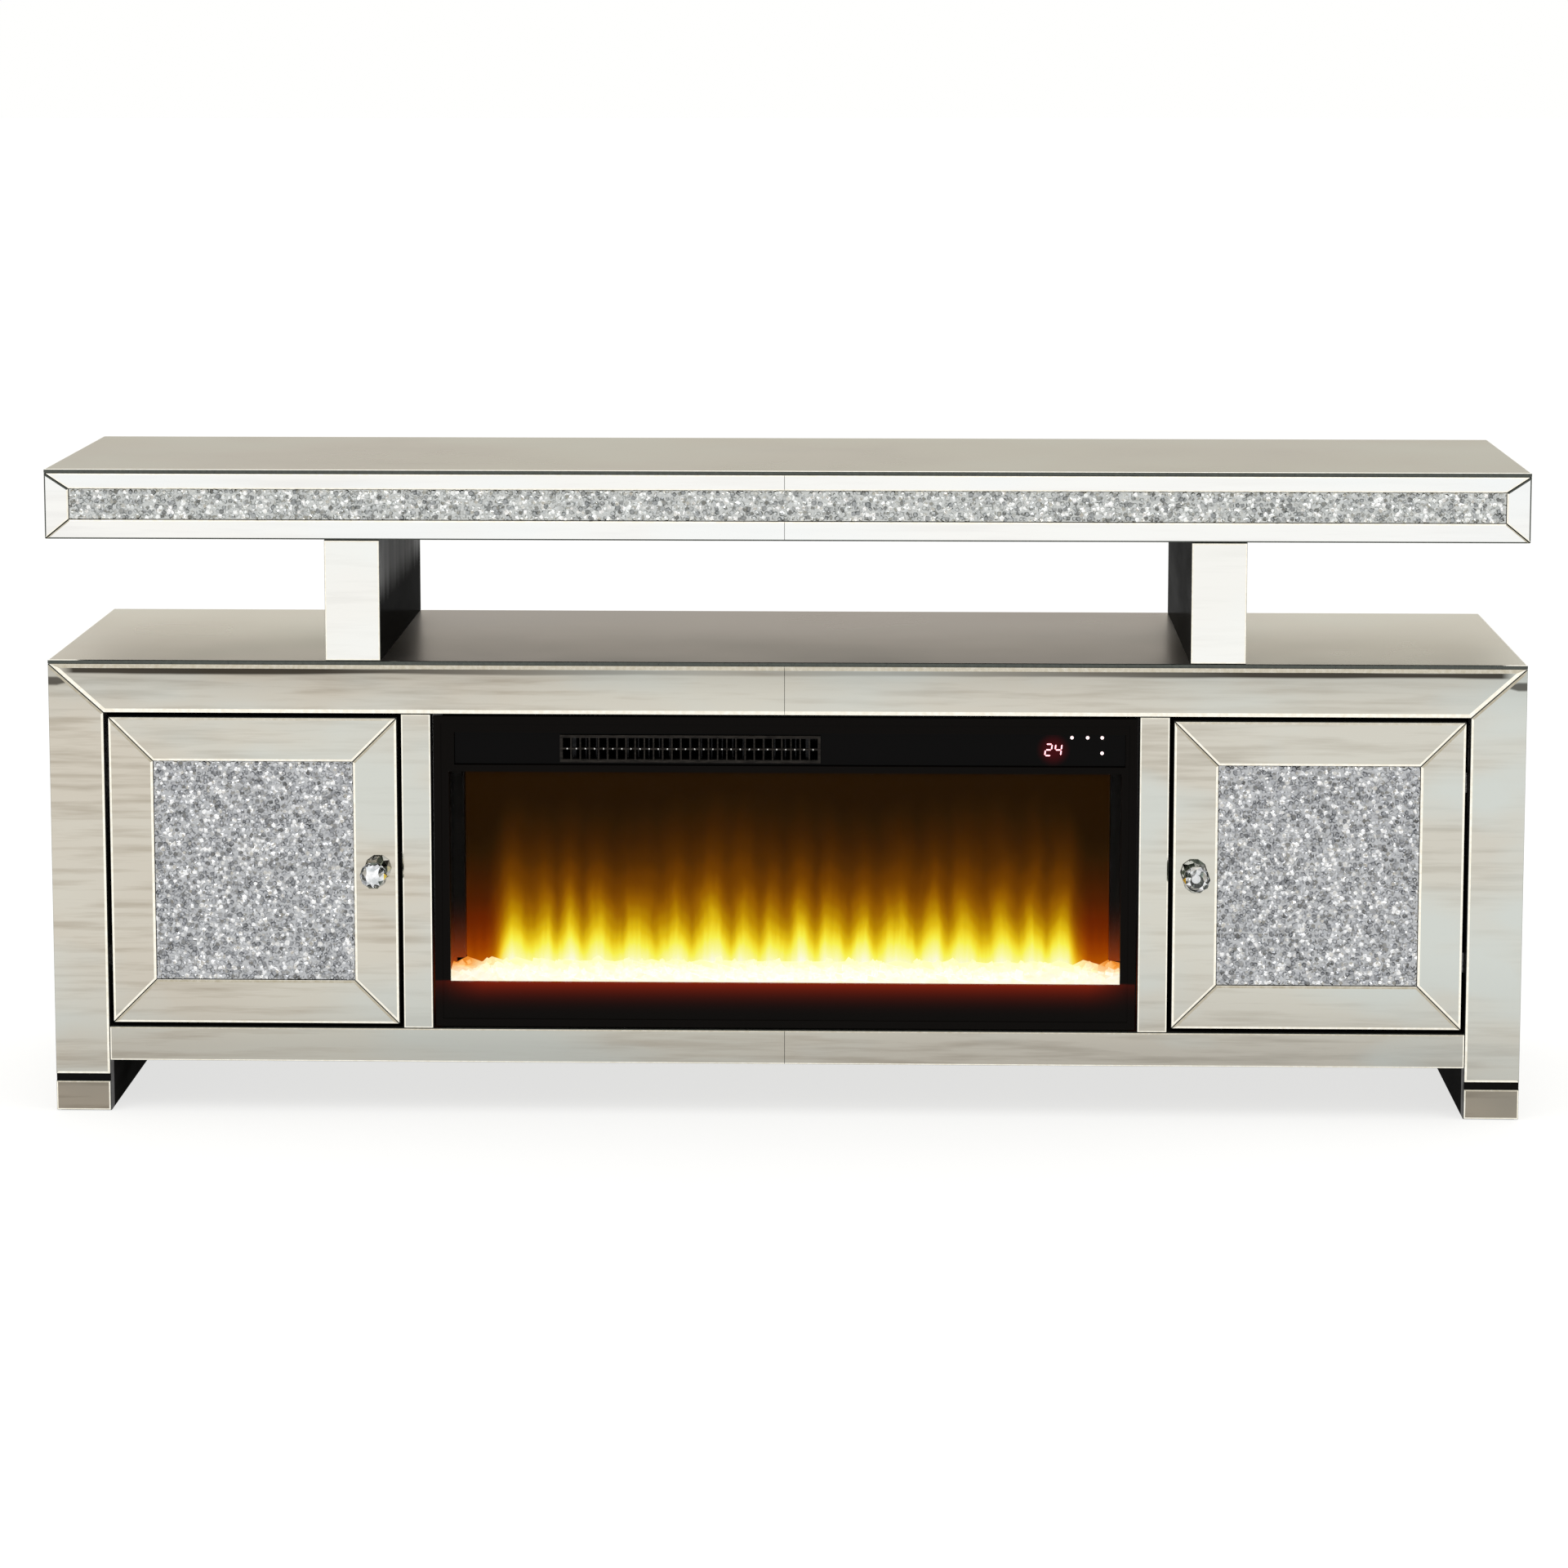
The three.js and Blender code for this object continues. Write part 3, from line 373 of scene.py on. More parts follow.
def lacquer_material(name, sheen=None, inner_face=0.0):
    """Black lacquer, with a paler painted sheen high up on the inner face where one is asked for: a
    painted reflection.
    """
    graph = Graph(name)
    smear = graph.noise((3, 2, 9), detail=4, roughness=0.6)
    colour = graph.mixed(smear.ranged(0.4, 0.7), rgb(17, 17, 16), rgb(44, 44, 43))
    if sheen:
        x, _, z = graph.axes()
        bands = graph.noise((1, 30, 3))
        height = graph.math("MULTIPLY_ADD", bands, SHEEN_RIPPLE, z)
        near, far = (inner_face + margin for margin in SHEEN_MARGINS)
        share = height.ranged(*SHEEN_HEIGHT, smooth=True) * x.ranged(*SHEEN_SIDES)
        share = share * abs(x).ranged(near, far, 1, 0) * bands.gauged(0.6, 1)
        colour = graph.mixed(share, colour, sheen)
    return graph.shade(
        Base_Color=colour,
        Metallic=0.15,
        Roughness=smear.gauged(0.1, 0.26),
        Specular_Tint=(0, 0, 0, 1),
        Specular_IOR_Level=0.0,
    )


# Fireplace insert: limits in metres, and the middle of the lit figures in millimetres
# Painted glow of the fire along the sill
SILL_TOP = (0.147, 0.149)
SILL_GLOW = (0.105, 0.147)
SILL_GLOW_ENDS = (0.33, 0.372)
# Painted halo of light round the lit figures
HALO_REACH = (0.004, 0.02)
DIGITS_PLACE = (291, 405.5)


def plastic_material():
    """Black moulded plastic, with a painted red glow of the fire along the sill below the window."""
    graph = Graph("bezel_plastic")
    x, _, z = graph.axes()
    texture = graph.noise(900)
    glow = z.ranged(*SILL_GLOW) ** 3.6 * z.ranged(*SILL_TOP, 1, 0)
    glow = glow * abs(x).ranged(*SILL_GLOW_ENDS, 1, 0.2)
    return graph.lit(
        graph.mixed(glow, rgb(0, 0, 0), rgb(122, 32, 8)),
        Base_Color=graph.mixed(texture, rgb(9, 7, 5), rgb(17, 13, 10)),
        Roughness=texture.gauged(0.32, 0.45),
        Specular_IOR_Level=0.06,
        Normal=graph.bump(texture, 0.2, 0.0001),
    )


def panel_material():
    """Glossy black control strip with a painted red halo of light round the lit figures."""
    graph = Graph("control_strip")
    x, _, z = graph.axes()
    texture = graph.noise(300)
    aside, above = (axis - centre * MM for axis, centre in zip((x, z), DIGITS_PLACE))
    reach = graph.math("SQRT", aside ** 2.0 + above ** 2.0)
    halo = reach.ranged(*HALO_REACH, 1, 0, smooth=True)
    return graph.lit(
        graph.mixed(halo, rgb(0, 0, 0), rgb(62, 4, 14)),
        Base_Color=graph.mixed(texture, rgb(5, 4, 4), rgb(12, 10, 10)),
        Roughness=texture.gauged(0.12, 0.22),
        Specular_IOR_Level=0.06,
    )


# Flames: lengths and limits in metres, and the colours from the embers upwards
FLAME_BASE = 0.145
FLAME_SPAN = 0.202
FLAME_PITCH = 0.0365
FLAME_FIRST = -0.313
FLAME_SWAY = 0.04
FLAME_DRIFT = 0.07
FLAME_EDGE = (0.309, 0.338)
# Painted shadow of the casing over the top of the flames
FLAME_SHADE = (0.352, 0.376)
FLAME_REDNESS = (1, 0.4, 0.8, 1)
FLAME_STOPS = (
    (0.0, rgb(255, 255, 240)),
    (0.03, rgb(254, 254, 214)),
    (0.075, rgb(253, 253, 162)),
    (0.14, rgb(250, 243, 80)),
    (0.175, rgb(244, 220, 50)),
    (0.21, rgb(226, 189, 26)),
    (0.28, rgb(186, 136, 4)),
    (0.35, rgb(154, 101, 2)),
    (0.42, rgb(130, 78, 2)),
    (0.49, rgb(109, 63, 2)),
    (0.63, rgb(79, 45, 8)),
    (0.77, rgb(58, 34, 9)),
    (0.91, rgb(44, 28, 10)),
    (1.0, rgb(38, 24, 9)),
)


def flame_material():
    """Soft tongues of light, which merge towards the embers and redden at both ends, with a painted
    shadow over their top.
    """
    graph = Graph("flame_light")
    x, _, z = graph.axes()
    rise = (z - FLAME_BASE) * (1 / FLAME_SPAN)
    waver = graph.wave(x, 0.0, 24, up=z * 0.7) - 0.5
    lane = x + waver * (rise * FLAME_SWAY)
    drift = (graph.wave(x, 3.0, 6) - 0.5) * FLAME_DRIFT
    turns = (lane + drift - FLAME_FIRST) / FLAME_PITCH
    tongue = graph.math("COSINE", turns * (2 * math.pi)).ranged(-1, 1) ** 0.72
    height = graph.wave(lane, 7.0, 20).gauged(0.5, 1.3)
    ripple = graph.wave(lane, 5.0, 110, up=z * 0.1).gauged(-0.02, 0.02)
    edge = abs(x).ranged(*FLAME_EDGE, smooth=True)
    gain = tongue * height * (1.0 - edge)
    reach = rise.ranged(0.05, 0.3, 0.085, 0.115) * rise.ranged(0.35, 0.85, 1, 0.35)
    plume = graph.wave(x, 11.0, 7, up=z * 0.5).gauged(-0.5, 0.5) * rise.ranged(0.2, 0.7, 0, 0.14)
    level = rise + 0.095 - gain * reach + plume + (edge * 0.19 + ripple)
    light = graph.ramp(level, FLAME_STOPS)
    light = graph.mixed(edge * rise.ranged(0.62, 0.25), light, FLAME_REDNESS, blend="MULTIPLY")
    # Painted shadow at the top of the flames
    light = graph.mixed(z.ranged(*FLAME_SHADE, smooth=True), light, rgb(22, 15, 9))
    smoke = graph.mixed(graph.wave(x, 1.0, 40, up=z, detail=3), rgb(6, 4, 2), rgb(14, 9, 5))
    return graph.lit(light, Base_Color=smoke, Roughness=0.5, Specular_IOR_Level=0.02)


# Embers and casing: limits in metres
EMBER_DEPTH = (-0.14, -0.085)
EMBER_ENDS = (0.31, 0.368)


def ember_material(name, strength):
    """Glowing crushed glass: nearly white in front, yellow behind and orange at both ends."""
    graph = Graph(name)
    x, y, _ = graph.axes()
    chance = graph.island()
    behind = y.ranged(*EMBER_DEPTH)
    edge = abs(x).ranged(*EMBER_ENDS, smooth=True)
    spark = graph.noise(150, detail=3)
    dull = spark.ranged(0.4, 0.7, 0, 0.3) + chance.ranged(0.55, 1, 0, 0.3)
    scorch = edge * (behind + dull * 0.3)
    light = graph.mixed(behind, rgb(255, 255, 240), rgb(254, 253, 186))
    light = graph.mixed(dull, light, rgb(255, 244, 186))
    light = graph.mixed(scorch.ranged(0, 0.9), light, rgb(240, 150, 52))
    light = graph.mixed(scorch.ranged(0.8, 1.3), light, rgb(190, 88, 26))
    ash = graph.mixed(spark, rgb(60, 44, 30), rgb(120, 96, 70))
    return graph.lit(light, strength, Base_Color=ash, Roughness=spark.gauged(0.15, 0.4))


ZINC_FROM = (0.0036, 0.004)
ZINC_TO = (0.0046, 0.005)
# Painted glow of the embers on the casing's inner cheeks
CHEEK_GLOW_HEIGHT = (0.23, 0.147)
CHEEK_GLOW_DEPTH = (-0.035, -0.05)
CHEEK_FLOOR = (0.1, 0.13)


def casing_material():
    """Black steel with a zinc-plated rear. Its inner cheeks beside the embers take a painted red glow.
    """
    graph = Graph("casing_steel")
    _, y, z = graph.axes()
    speckle = graph.noise(420, detail=3)
    black = graph.mixed(speckle, rgb(11, 10, 9), rgb(24, 22, 21))
    zinc = graph.mixed(speckle.ranged(0.35, 0.65), rgb(118, 120, 122), rgb(168, 170, 172))
    rear = y.ranged(*ZINC_FROM) * y.ranged(*ZINC_TO, 1, 0)
    inside = y.ranged(*CHEEK_GLOW_DEPTH) * z.ranged(*CHEEK_FLOOR)
    glow = z.ranged(*CHEEK_GLOW_HEIGHT) ** 3 * inside
    return graph.lit(
        graph.mixed(glow, rgb(0, 0, 0), rgb(150, 62, 24)),
        Base_Color=graph.mixed(rear, black, zinc),
        Roughness=speckle.gauged(0.45, 0.65),
        Specular_IOR_Level=0.15,
        Normal=graph.bump(speckle, 0.3, 0.0003),
    )


def lamp_material(name, colour, glow, strength):
    graph = Graph(name)
    colour = graph.mixed(graph.noise(500), colour, rgb(255, 255, 255))
    return graph.lit(glow, strength, Base_Color=colour, Roughness=0.4)


# Tones of the mirrors: pale, blush, deep and cool. Each part has its own lighter or darker copy,
# painted for the light that it reflects.
LOWER_TONES = (rgb(206, 203, 192), rgb(201, 194, 181), rgb(178, 170, 156), rgb(202, 206, 201))
UPPER_TONES = (rgb(244, 244, 242), rgb(242, 241, 238), rgb(235, 234, 232), rgb(240, 243, 244))
POST_TONES = (rgb(241, 240, 236), rgb(239, 238, 234), rgb(232, 231, 227), rgb(238, 240, 238))
TOP_TONES = (rgb(224, 221, 210), rgb(223, 218, 209), rgb(218, 213, 204), rgb(220, 219, 209))
DECK_TONES = (rgb(252, 249, 239), rgb(251, 246, 238), rgb(247, 242, 232), rgb(248, 247, 238))
# Painted shade over the middle of the deck
DECK_CENTRE_SHADE = (0.5, 0.47, 0.485, 1)
# The feet are darker still: painted shade of the floor beside them
FOOT_TONES = (rgb(156, 148, 134), rgb(150, 139, 126), rgb(100, 92, 80), rgb(136, 131, 121))

# Painted shade: how the front mirrors darken towards the floor and under the deck
LOWER_FADE = ((0.0, 0.7), (0.15, 0.74), (0.24, 0.9), (0.36, 0.97), (0.9, 1.0))
RAIL_FADE = (
    (0.0, 0.78), (0.15, 0.84), (0.24, 0.92), (0.36, 0.97), (0.88, 1.0), (0.93, 0.93), (0.98, 0.78)
)

# Shades of the crushed crystal, over its chips. The white stops at the top are painted glints, and the
# strip's tones are lighter than the doors'.
DOOR_CHIP_TONES = (
    (0.0, rgb(134, 136, 140)),
    (0.3, rgb(176, 178, 182)),
    (0.68, rgb(204, 206, 209)),
    (0.8, rgb(248, 249, 251)),
    (1.0, rgb(255, 255, 255)),
)
STRIP_CHIP_TONES = (
    (0.0, rgb(142, 145, 146)),
    (0.3, rgb(188, 191, 191)),
    (0.62, rgb(218, 221, 220)),
    (0.75, rgb(252, 254, 253)),
    (1.0, rgb(255, 255, 255)),
)

# Grain of the metals and boards: noise scales along x, y and z
EVEN_GRAIN = (60, 60, 60)
PLATED_GRAIN = (40, 40, 900)
ROLLED_GRAIN = (30, 400, 400)
BOARD_GRAIN = (3, 40, 40)
PANEL_GRAIN = (22, 22, 22)
MOULDED_GRAIN = (90, 90, 500)

# What the metals have in common, the boards, and the moulded plastic
METAL = {"detail": 4, "coarse": 0.7, "contrast": (0.3, 0.7), "relief": (0.1, 0.0002), "Metallic": 1.0}
BOARD = {
    "gloss": (0.42, 0.62),
    "detail": 6,
    "coarse": 0.65,
    "contrast": (0.35, 0.68),
    "relief": (0.25, 0.0004),
    "Specular_IOR_Level": 0.4,
}
MOULDED = {**BOARD, "Specular_IOR_Level": 0.06}

# Tones of the other finishes: dark and bright
# Painted highlight on the bevels, and the dark edge of the glass that also paints shadow lines
BEVEL_HIGHLIGHT_TONES = (rgb(242, 236, 220), rgb(255, 251, 240))
EDGE_AND_SHADOW_TONES = (rgb(44, 48, 45), rgb(80, 85, 79))
PAINT_TONES = (rgb(8, 8, 7), rgb(22, 20, 18))
# Painted reflections in the facets of the crystal knobs
DARK_REFLECTION_TONES = (rgb(62, 68, 64), rgb(118, 126, 120))
PALE_REFLECTION_TONES = (rgb(196, 200, 202), rgb(250, 250, 252))
CRYSTAL_TONES = (rgb(236, 240, 242), rgb(255, 255, 255))
PANE_TONES = (rgb(250, 248, 246), rgb(254, 253, 252))
CHROME_TONES = (rgb(205, 206, 208), rgb(232, 232, 233))
NICKEL_TONES = (rgb(168, 167, 164), rgb(206, 205, 202))
STEEL_TONES = (rgb(150, 151, 152), rgb(192, 193, 194))
FAN_TONES = (rgb(34, 34, 35), rgb(62, 62, 64))
BOARD_TONES = (rgb(22, 20, 19), rgb(44, 41, 38))
BACK_TONES = (rgb(30, 26, 23), rgb(58, 52, 46))
GRILLE_TONES = (rgb(29, 27, 26), rgb(54, 51, 48))

lower_mirror = mirror_material("lower_mirror", LOWER_TONES, LOWER_FADE)
rail_mirror = mirror_material("rail_mirror", LOWER_TONES, RAIL_FADE, dark_reflections=True)
upper_mirror = mirror_material("upper_mirror", UPPER_TONES)
post_mirror = mirror_material("post_mirror", POST_TONES)
foot_mirror = mirror_material("foot_mirror", FOOT_TONES)
top_mirror = mirror_material("top_mirror", TOP_TONES, haze=SATIN_HAZE)
deck_mirror = mirror_material("deck_mirror", DECK_TONES, centre=DECK_CENTRE_SHADE, haze=SATIN_HAZE)
# The bevels: a pale copy of the mirror, as painted highlight
bevel_highlight = grained_material("bevel_highlight", 180, BEVEL_HIGHLIGHT_TONES, (0.08, 0.18), detail=3, Metallic=1.0)
# The dark edge of the glass, also used for painted shadow lines on bevels
edge_and_shadow = grained_material("edge_and_shadow", 240, EDGE_AND_SHADOW_TONES, (0.25, 0.45), contrast=(0, 1))
backing_paint = grained_material(
    "backing_paint", 320, PAINT_TONES, (0.5, 0.8), detail=3, contrast=(0, 1), Specular_IOR_Level=0.08
)
dark_reflection_facet = grained_material("dark_reflection_facet", 150, DARK_REFLECTION_TONES, (0.04, 0.12), Metallic=1.0)
pale_reflection_facet = grained_material("pale_reflection_facet", 150, PALE_REFLECTION_TONES, (0.04, 0.12), Metallic=1.0)
door_chip = chip_material("door_chip", DOOR_CHIP_TONES)
strip_chip = chip_material("strip_chip", STRIP_CHIP_TONES)
cut_crystal = clear_material("cut_crystal", 90, CRYSTAL_TONES, 0.015, 1.62)
window_pane = clear_material("window_pane", 6, PANE_TONES, 0.0, 1.04)
chrome = grained_material("chrome", EVEN_GRAIN, CHROME_TONES, (0.04, 0.12), **METAL)
nickel = grained_material("nickel", PLATED_GRAIN, NICKEL_TONES, (0.2, 0.34), **METAL)
bare_steel = grained_material("bare_steel", ROLLED_GRAIN, STEEL_TONES, (0.28, 0.45), **METAL)
fan_steel = grained_material("fan_steel", ROLLED_GRAIN, FAN_TONES, (0.35, 0.5), **METAL)
black_board = grained_material("black_board", BOARD_GRAIN, BOARD_TONES, **BOARD)
back_board = grained_material("back_board", PANEL_GRAIN, BACK_TONES, **BOARD)
grille_plastic = grained_material("grille_plastic", MOULDED_GRAIN, GRILLE_TONES, **MOULDED)
black_lacquer = lacquer_material("black_lacquer")
# Posts: black lacquer with a painted sheen on the inner face
post_lacquer = lacquer_material("post_lacquer", POST_SHEEN, POST_INNER_FACE)
bezel_plastic = plastic_material()
control_strip = panel_material()
casing_steel = casing_material()
flame_light = flame_material()
ember_bed_light = ember_material("ember_bed_light", 1.0)
ember_chip = ember_material("ember_chip_light", 1.06)
lamp_board = lamp_material("lamp_board", rgb(220, 216, 206), rgb(255, 190, 90), 0.3)
red_light = lamp_material("red_figures", rgb(255, 120, 130), rgb(255, 150, 165), 1.5)
pink_light = lamp_material("pink_dots", rgb(255, 220, 222), rgb(255, 214, 218), 0.8)


# Meshes
class Face:
    """A plane of the cabinet: u to the right and v up, as seen from outside, and w outwards."""

    def __init__(self, origin, right, up):
        self.origin = Vector(origin)
        self.right, self.up, self.out = right, up, right.cross(up)

    def at(self, u, v, w):
        return self.origin + self.right * u + self.up * v + self.out * w


def add_mesh(name, mesh, materials):
    """An object from points in millimetres."""
    vertices, faces = mesh
    data = bpy.data.meshes.new(name)
    data.from_pydata([tuple(Vector(point) * MM) for point in vertices], [], faces)
    for each in materials:
        data.materials.append(each)
    made = bpy.data.objects.new(name, data)
    scene.collection.objects.link(made)
    return made


def add_piece(name, mesh, materials, body, slot, indices=None, stands_for=None):
    """A piece that rides on a body and may stand for a CAD node."""
    piece = add_mesh(name, mesh, materials)
    if indices:
        piece.data.polygons.foreach_set("material_index", indices)
    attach(piece, body)
    if stands_for:
        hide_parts(stands_for)
    return piece


def rectangle(u, v):
    return [(u[0], v[0]), (u[1], v[0]), (u[1], v[1]), (u[0], v[1])]


def mirrored(outline, sign):
    return outline if sign > 0 else [(-u, v) for u, v in reversed(outline)]


def inset(outline, distances):
    """Moves each edge of a convex outline inwards by its own distance."""
    count = len(outline)
    lines = []
    for index, (u, v) in enumerate(outline):
        next_u, next_v = outline[(index + 1) % count]
        span = math.hypot(next_u - u, next_v - v)
        normal = (-(next_v - v) / span, (next_u - u) / span)
        lines.append((normal, normal[0] * u + normal[1] * v + distances[index]))
    moved = []
    for index in range(count):
        (a, b), c = lines[index - 1]
        (d, e), f = lines[index]
        scale = a * e - b * d
        moved.append(((c * e - b * f) / scale, (a * f - c * d) / scale))
    return moved


def circle(radius, sides, turn=0.0):
    """Points round a circle. The turn is counted in steps from one point to the next."""
    angles = [2 * math.pi * (index + turn) / sides for index in range(sides)]
    return [(radius * math.cos(angle), radius * math.sin(angle)) for angle in angles]


def bands(count, pairs):
    """Faces between rings of so many points, for each pair of rings."""
    faces = []
    for low, high in pairs:
        for index in range(count):
            after = (index + 1) % count
            lower, upper = low * count, high * count
            faces.append((lower + index, lower + after, upper + after, upper + index))
    return faces


def stack(mesh, face, rings, centre=(0, 0)):
    """Adds a closed form to a mesh: outlines of equal count, each at its own height."""
    vertices, faces = mesh
    start, count, last = len(vertices), len(rings[0][0]), len(rings) - 1
    for outline, height in rings:
        vertices += [face.at(centre[0] + u, centre[1] + v, height) for u, v in outline]
    parts = [tuple(reversed(range(count)))]
    parts += bands(count, zip(range(last), range(1, last + 1)))
    parts += [tuple(range(last * count, (last + 1) * count))]
    faces += [tuple(start + index for index in part) for part in parts]


def solid(face, rings, centres=((0, 0),)):
    """A mesh with one closed form round each centre."""
    mesh = ([], [])
    for centre in centres:
        stack(mesh, face, rings, centre)
    return mesh


def add_plate(
    name, face, outline, mirror, body=CABINET, bevel=WIDE_BEVEL, ease=ARRIS,
    seams=(), shadow_edges=(), lit=(), plain=(), stands_for=None
):
    """A mirror plate with ground bevels on all edges but the seams.

    Bevels of shadow edges take the dark edge colour as a painted shadow line, and plain ones match the
    field. The other bevels, and the sides of lit edges, take the pale bevel colour as a painted
    highlight.
    """
    edges = range(len(outline))
    edge = inset(outline, [SEAM_JOINT if index in seams else HALF_JOINT for index in edges])
    arris = inset(edge, [SEAM_ARRIS if index in seams else ease for index in edges])
    field = inset(edge, [SEAM_BEVEL if index in seams else bevel for index in edges])
    shoulder = GLASS - BEVEL_SLOPE * bevel
    rings = [(edge, 0), (edge, shoulder - ease), (arris, shoulder), (field, GLASS)]
    indices = [2]
    indices += [1 if index in lit else 2 for index in edges] * 2
    indices += [2 if index in shadow_edges else 0 if index in plain else 1 for index in edges]
    indices += [0]
    materials = (mirror, bevel_highlight, edge_and_shadow)
    add_piece(name, solid(face, rings), materials, body, "mirror", indices, stands_for)


def add_backing(node, face, outline, body=CABINET, hole=None):
    """The black layer behind the plates of one mirror, which shows in their joints."""
    edge = inset(outline, [HALF_JOINT + BACKING_INSET] * len(outline))
    if hole:
        inner = inset(hole, [-HALF_JOINT] * len(hole))
        rings = ((edge, 0), (edge, BACKING), (inner, BACKING), (inner, 0))
        vertices = [face.at(u, v, w) for ring, w in rings for u, v in ring]
        mesh = (vertices, bands(len(edge), ((0, 1), (1, 2), (2, 3), (3, 0))))
    else:
        mesh = solid(face, ((edge, 0), (edge, BACKING)))
    name = node.replace("mirror", "backing")
    add_piece(name, mesh, (backing_paint,), body, "mirror", stands_for=node)


def mitred(outer, inner):
    """The four strips of a mitred border, named by side."""
    (u0, u1), (v0, v1) = outer
    (a0, a1), (b0, b1) = inner
    return {
        "left": [(u0, v0), (a0, b0), (a0, b1), (u0, v1)],
        "right": [(u1, v0), (u1, v1), (a1, b1), (a1, b0)],
        "lower": [(u0, v0), (u1, v0), (a1, b0), (a0, b0)],
        "upper": [(u0, v1), (a0, b1), (a1, b1), (u1, v1)],
    }


def joint_limits(node):
    """The limits of a plate, up to the middle of the joints round it."""
    return [widened(pair, HALF_JOINT) for pair in limits(node)]


def front_limits(node):
    x, _, z = joint_limits(node)
    return x, z


# Places of the cabinet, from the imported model
(_, half_width), (front_y, _), _ = joint_limits("deck_mirror")
(stile_edge, _), _, (foot_bottom, _) = joint_limits("right_stile_mirror")
_, (opening_top, rail_top) = front_limits("top_rail_mirror")
_, low_rail = front_limits("bottom_rail_mirror")

# Levels of the foot plates, and the edge at which each half plate meets the other
FOOT_TOP = 34
FOOT_BAND_TOP = 41.5
SEAMS = {"left": (1,), "right": (3,)}

front = Face((0, front_y + GLASS, 0), X, Z)


def rail_outline(low_left, low_right, high_right, high_left):
    levels = (opening_top, opening_top, rail_top, rail_top)
    return list(zip((low_left, low_right, high_right, high_left), levels))


def add_front_plates():
    whole = rail_outline(-stile_edge, stile_edge, half_width, -half_width)
    add_backing("top_rail_mirror", front, whole)
    halves = {
        "left": rail_outline(-stile_edge, 0, 0, -half_width),
        "right": rail_outline(0, stile_edge, half_width, 0),
    }
    for side, outline in halves.items():
        add_plate(f"top_rail_{side}_plate", front, outline, rail_mirror, seams=SEAMS[side])
    add_backing("bottom_rail_mirror", front, rectangle((-stile_edge, stile_edge), low_rail))
    for side, sign in SIDES:
        half = rectangle(across(sign, 0, stile_edge), low_rail)
        name = f"bottom_rail_{side}_plate"
        add_plate(name, front, half, lower_mirror, bevel=SLIM_BEVEL, seams=SEAMS[side])
    for side, sign in SIDES:
        add_stile_plates(side, sign)


def add_stile_plates(side, sign):
    """A stile with a foot of its own under a black reveal, and the mid stile beside the insert."""
    low_edge = [(stile_edge, foot_bottom), (half_width, foot_bottom)]
    whole = low_edge + [(half_width, rail_top), (stile_edge, opening_top)]
    stile = mirrored([(u, max(v, FOOT_BAND_TOP)) for u, v in whole], sign)
    foot = mirrored(rectangle((stile_edge, half_width), (foot_bottom, FOOT_TOP)), sign)
    add_backing(f"{side}_stile_mirror", front, mirrored(whole, sign))
    add_plate(f"{side}_stile_plate", front, stile, rail_mirror, bevel=DOOR_BEVEL, plain=(1,))
    add_plate(f"{side}_foot_plate", front, foot, foot_mirror, bevel=SLIM_BEVEL)
    add_slim_plate(f"{side}_mid_stile_mirror", lower_mirror)


def add_slim_plate(node, mirror):
    """A narrow plate of the front that stands for one CAD node."""
    name = node.replace("mirror", "plate")
    add_plate(name, front, rectangle(*front_limits(node)), mirror, bevel=SLIM_BEVEL, stands_for=node)


def add_side_plates(side, sign):
    face = Face((sign * (half_width - GLASS), 0, 0), Y * sign, Z)
    node = f"{side}_side_mirror"
    _, side_y, (bottom, top) = joint_limits(node)
    u = across(sign, *side_y)
    foot = rectangle(u, (bottom, FOOT_TOP))
    add_backing(node, face, rectangle(u, (bottom, top)))
    add_plate(f"{side}_side_plate", face, rectangle(u, (FOOT_BAND_TOP, top)), lower_mirror)
    add_plate(f"{side}_side_foot_plate", face, foot, foot_mirror, bevel=SLIM_BEVEL)

    node = f"{side}_shelf_end_mirror"
    _, end_y, end_z = joint_limits(node)
    outline = rectangle(across(sign, *end_y), end_z)
    style = {"bevel": SLIM_BEVEL, "ease": SHELF_ARRIS}
    add_plate(f"{side}_shelf_end_plate", face, outline, post_mirror, stands_for=node, **style)


def add_top_plates():
    for name, mirror in (("deck", deck_mirror), ("shelf_top", top_mirror)):
        node = f"{name}_mirror"
        x, y, _ = joint_limits(node)
        face = Face((0, 0, limits(node)[2][1] - GLASS), X, Y)
        add_plate(f"{name}_plate", face, rectangle(x, y), mirror, bevel=SLIM_BEVEL, stands_for=node)


# Crushed crystal
def add_chips(name, node, seed, material, body=CABINET):
    """Faceted chips of glass, each on its own seat, over a dull backing."""
    draw = random.Random(seed)
    u, _, v = (widened(pair, -CHIP_MARGIN) for pair in limits(node))
    backing = rectangle(u, v)
    mesh = solid(front, ((backing, 0), (backing, CHIP_SEAT)))
    columns = round(length(u) / CHIP_PITCH)
    rows = round(length(v) / CHIP_PITCH)
    scatter = (-CHIP_SCATTER_SHARE, CHIP_SCATTER_SHARE)
    for row in range(rows):
        stagger = CHIP_STAGGER_SHARE if row % 2 else -CHIP_STAGGER_SHARE
        for column in range(columns):
            along = column + 0.5 + stagger + draw.uniform(*scatter)
            up = row + 0.5 + draw.uniform(*scatter)
            centre = (u[0] + along * length(u) / columns, v[0] + up * length(v) / rows)
            add_chip(mesh, centre, (u, v), draw)
    add_piece(name, mesh, (material,), body, "crystal", stands_for=node)


